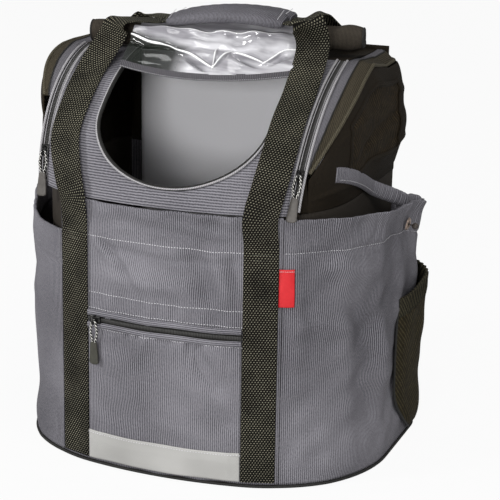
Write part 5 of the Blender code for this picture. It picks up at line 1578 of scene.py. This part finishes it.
# %% Padded grips
for which, tip in (("front", math.radians(18)), ("rear", math.radians(6))):
    s = linspace(-1, 1, 72)
    x = grip_shift + s * grip_length / 2
    z = grip_z + x * lean + grip_arch * (1 - s ** 2)
    pinch = 1 - 0.10 * bell(np.abs(s), 0.90, 0.03)
    full = ((1 - np.abs(s) ** 10) ** 0.5 * 0.45 + 0.55) * pinch
    a, across, thick = oblong(40, 0.6, 0.85)
    across, thick = across * (grip_width / 2 + 0.001), thick * grip_height / 2 * 1.35
    thick = thick - 0.0016 * bell(across, -0.002, 0.0016) * (np.sin(a) > 0)
    ring = join(across * math.cos(tip) - thick * math.sin(tip), across * math.sin(tip) + thick * math.cos(tip))
    profile = ring[None] * join(0.5 * full + 0.5, full)[:, None]
    profile = profile * (1 + 0.025 * np.sin(s * 34)[:, None, None] * np.cos(a * 2)[None, :, None])
    sweep(which + "_grip_sleeve", join(x, grip_y[which], z - 0.0048), (0, 1, 0), profile, grip_cloth,
                    which + "_loop", [which + "_grip"])
    low = linspace(-1, 1, 12) * grip_width / 2 * 0.86
    for k, label in ((-0.92, "left"), (0.92, "right")):
        i = int((k + 1) / 2 * 71)
        top = z[i] - 0.0032 + low * math.sin(tip) + grip_height / 2 * 1.02
        stitches("%s_grip_seam_%s" % (which, label), join(x[i], grip_y[which] + low * math.cos(tip), top), UP, thread,
                 which + "_loop", pitch=0.0024)
print("grips ready")

# %% [markdown]
# ## Seams
# Rows of pale thread cross the front above and below the zip. On the straps a darker
# thread closes the box where the loop comes free. A pattern could draw them, but
# stitches with a body of their own catch the light.

# %% Seam rows
d = linspace(-edge, edge, 80)
for name, height, dip, out in (("upper_seam", 0.244, 0.0005, 0.0002), ("middle_seam", 0.185, 0.001, 0.0002),
                               ("over_zip_seam", 0.1685, 0, 0.0002), ("under_zip_seam", 0.1485, 0, on_front + 0.0001),
                               ("strip_seam", 0.0355, 0, on_front + gap + 0.0009)):
    z = height - dip * (1 - np.abs(d) / edge)
    out = out + (front_bulge(d, z) if height > 0.165 else pocket_bulge(d, z))
    stitches(name, outer.places(d, out, z), outer.normals(d), thread)
for side, word in ((-1, "left_"), (1, "right_")):
    for height in (0.238, 0.2435):
        line = outer.places(side * (strap_centre + linspace(-0.45, 0.45, 10) * webbing_width), gap + 0.0022, height)
        stitches("%sstrap_box_%d" % (word, height * 1e4), line, (side * 0.4, -1, 0), dark_thread, pitch=0.0024)
print("seams ready")


# %% [markdown]
# ## Zip pulls
# Each pull is a loop of black cord with pale flecks through the slider's bail, held in
# a moulded rubber end. The direction in which it hangs is read from the CAD pull, so
# that both swing alike with the pull's own body.

# %% Pulls
def pull(word, finish):
    """A cord loop and a tapered rubber end, along the CAD pull's own direction."""
    name, body = word + "_zip_pull", word + "_pull"
    joint = next(j for j in frame["joints"] if j["name"] == body + "_swing")
    pivot = np.array(joint.get("pos_m", joint.get("pos")), float)
    points = points_of(frame["nodes"][name].data).astype(float)
    across = unit(np.array(joint["axis"], float))
    far = points[np.argsort(np.linalg.norm(points - pivot, axis=1))[-8:]].mean(0)
    down = square_to(far - pivot, across)
    length, wide = 0.0265, 0.0036
    run = linspace(0, 1, 60)[:-1]
    fall = length * (0.5 - 0.5 * np.cos(2 * pi * run))
    half = wide * np.sin(2 * pi * run) * (1.45 - 0.75 * fall / length) * (1 - 0.25 * np.abs(np.sin(4 * pi * run)))
    sweep(name + "_cord", pivot + across * half[:, None] + down * fall[:, None], np.cross(across, down),
          circle(0.00115, 8), flecked, body, closed=True)
    s = linspace(0, 1, 40)
    round_end = np.sqrt(np.clip(1 - ramp(s, 0.88, 0.12) ** 2, 0.04, 1))
    width = (0.0034 + 0.0020 * ramp(s, 0, 0.9) ** 0.8) * np.clip(0.55 + s / 0.10, 0, 1) * (0.4 + 0.6 * round_end)
    thick = 0.0017 * (0.5 + 0.5 * round_end) * (1 - 0.22 * bell(s, 0.60, 0.20))
    _, flat, high = oblong(28, 0.6, 0.8)
    profile = join(flat, high * (1 + 0.25 * bell(flat, 0, 0.18)))[None] * join(width, thick)[:, None]
    sweep(name + "_end", pivot + down * (length - 0.0040 + 0.0240 * s)[:, None], across, profile, finish, body,
          [name])
    print(name, "hangs along", down.round(3))


pull("left", rubber)
pull("right", rubber)
pull("pocket", dark_rubber)

# %% [markdown]
# ## Hard parts and the last cloth piece
# The sliders, eyelets, beads, bracket, bolts, boards and ring have their right shape
# already, so they keep their solids and only get a procedural finish.

# %% Finishes on the hard solids
hard = {"left_zip_slider right_zip_slider pocket_zip_slider": black_metal, "left_eyelet right_eyelet": copper_steel,
        "left_cord_bead right_cord_bead": bead_black, "rear_bracket": bracket_black,
        "left_bracket_bolt right_bracket_bolt d_ring": steel, "base_board back_board": board_black}
for words, finish in hard.items():
    for name in words.split():
        solid = frame["nodes"][name].data
        solid.materials.clear()
        solid.materials.append(finish.material)
print("hard finishes:", len(hard))

# %% [markdown]
# The ring for a lead hangs in a folded tab of webbing. A line that runs down the wall,
# round the ring's bar and up again makes it, as it is sewn.

# %% Ring tab
wall_face = cabin_back - stiffener - gap - lining - gap
cloth_step, bar_z, tab_top = 0.0015, 0.235, 0.267
tab_turn = 2 * cloth_step + gap
bar_y = wall_face - tab_turn
a = linspace(0, pi, 12)
front = wall_face - 2 * cloth_step - gap
line = resample(np.vstack([join(wall_face, linspace(tab_top, bar_z, 8)),
                           join(bar_y + tab_turn * np.cos(a), bar_z - tab_turn * np.sin(a))[1:],
                           [(front, bar_z + 3 * tab_turn), (front, tab_top)]]), 0.0012)
cloth("ring_tab", join(0.06 + linspace(-0.008, 0.008, 8), line[:, :1], line[:, 1:]), webbing, 0.0014,
      facing=lambda p: p - (p[0], bar_y, bar_z), stands_for=["d_ring_tab"])
print("ring tab ready")
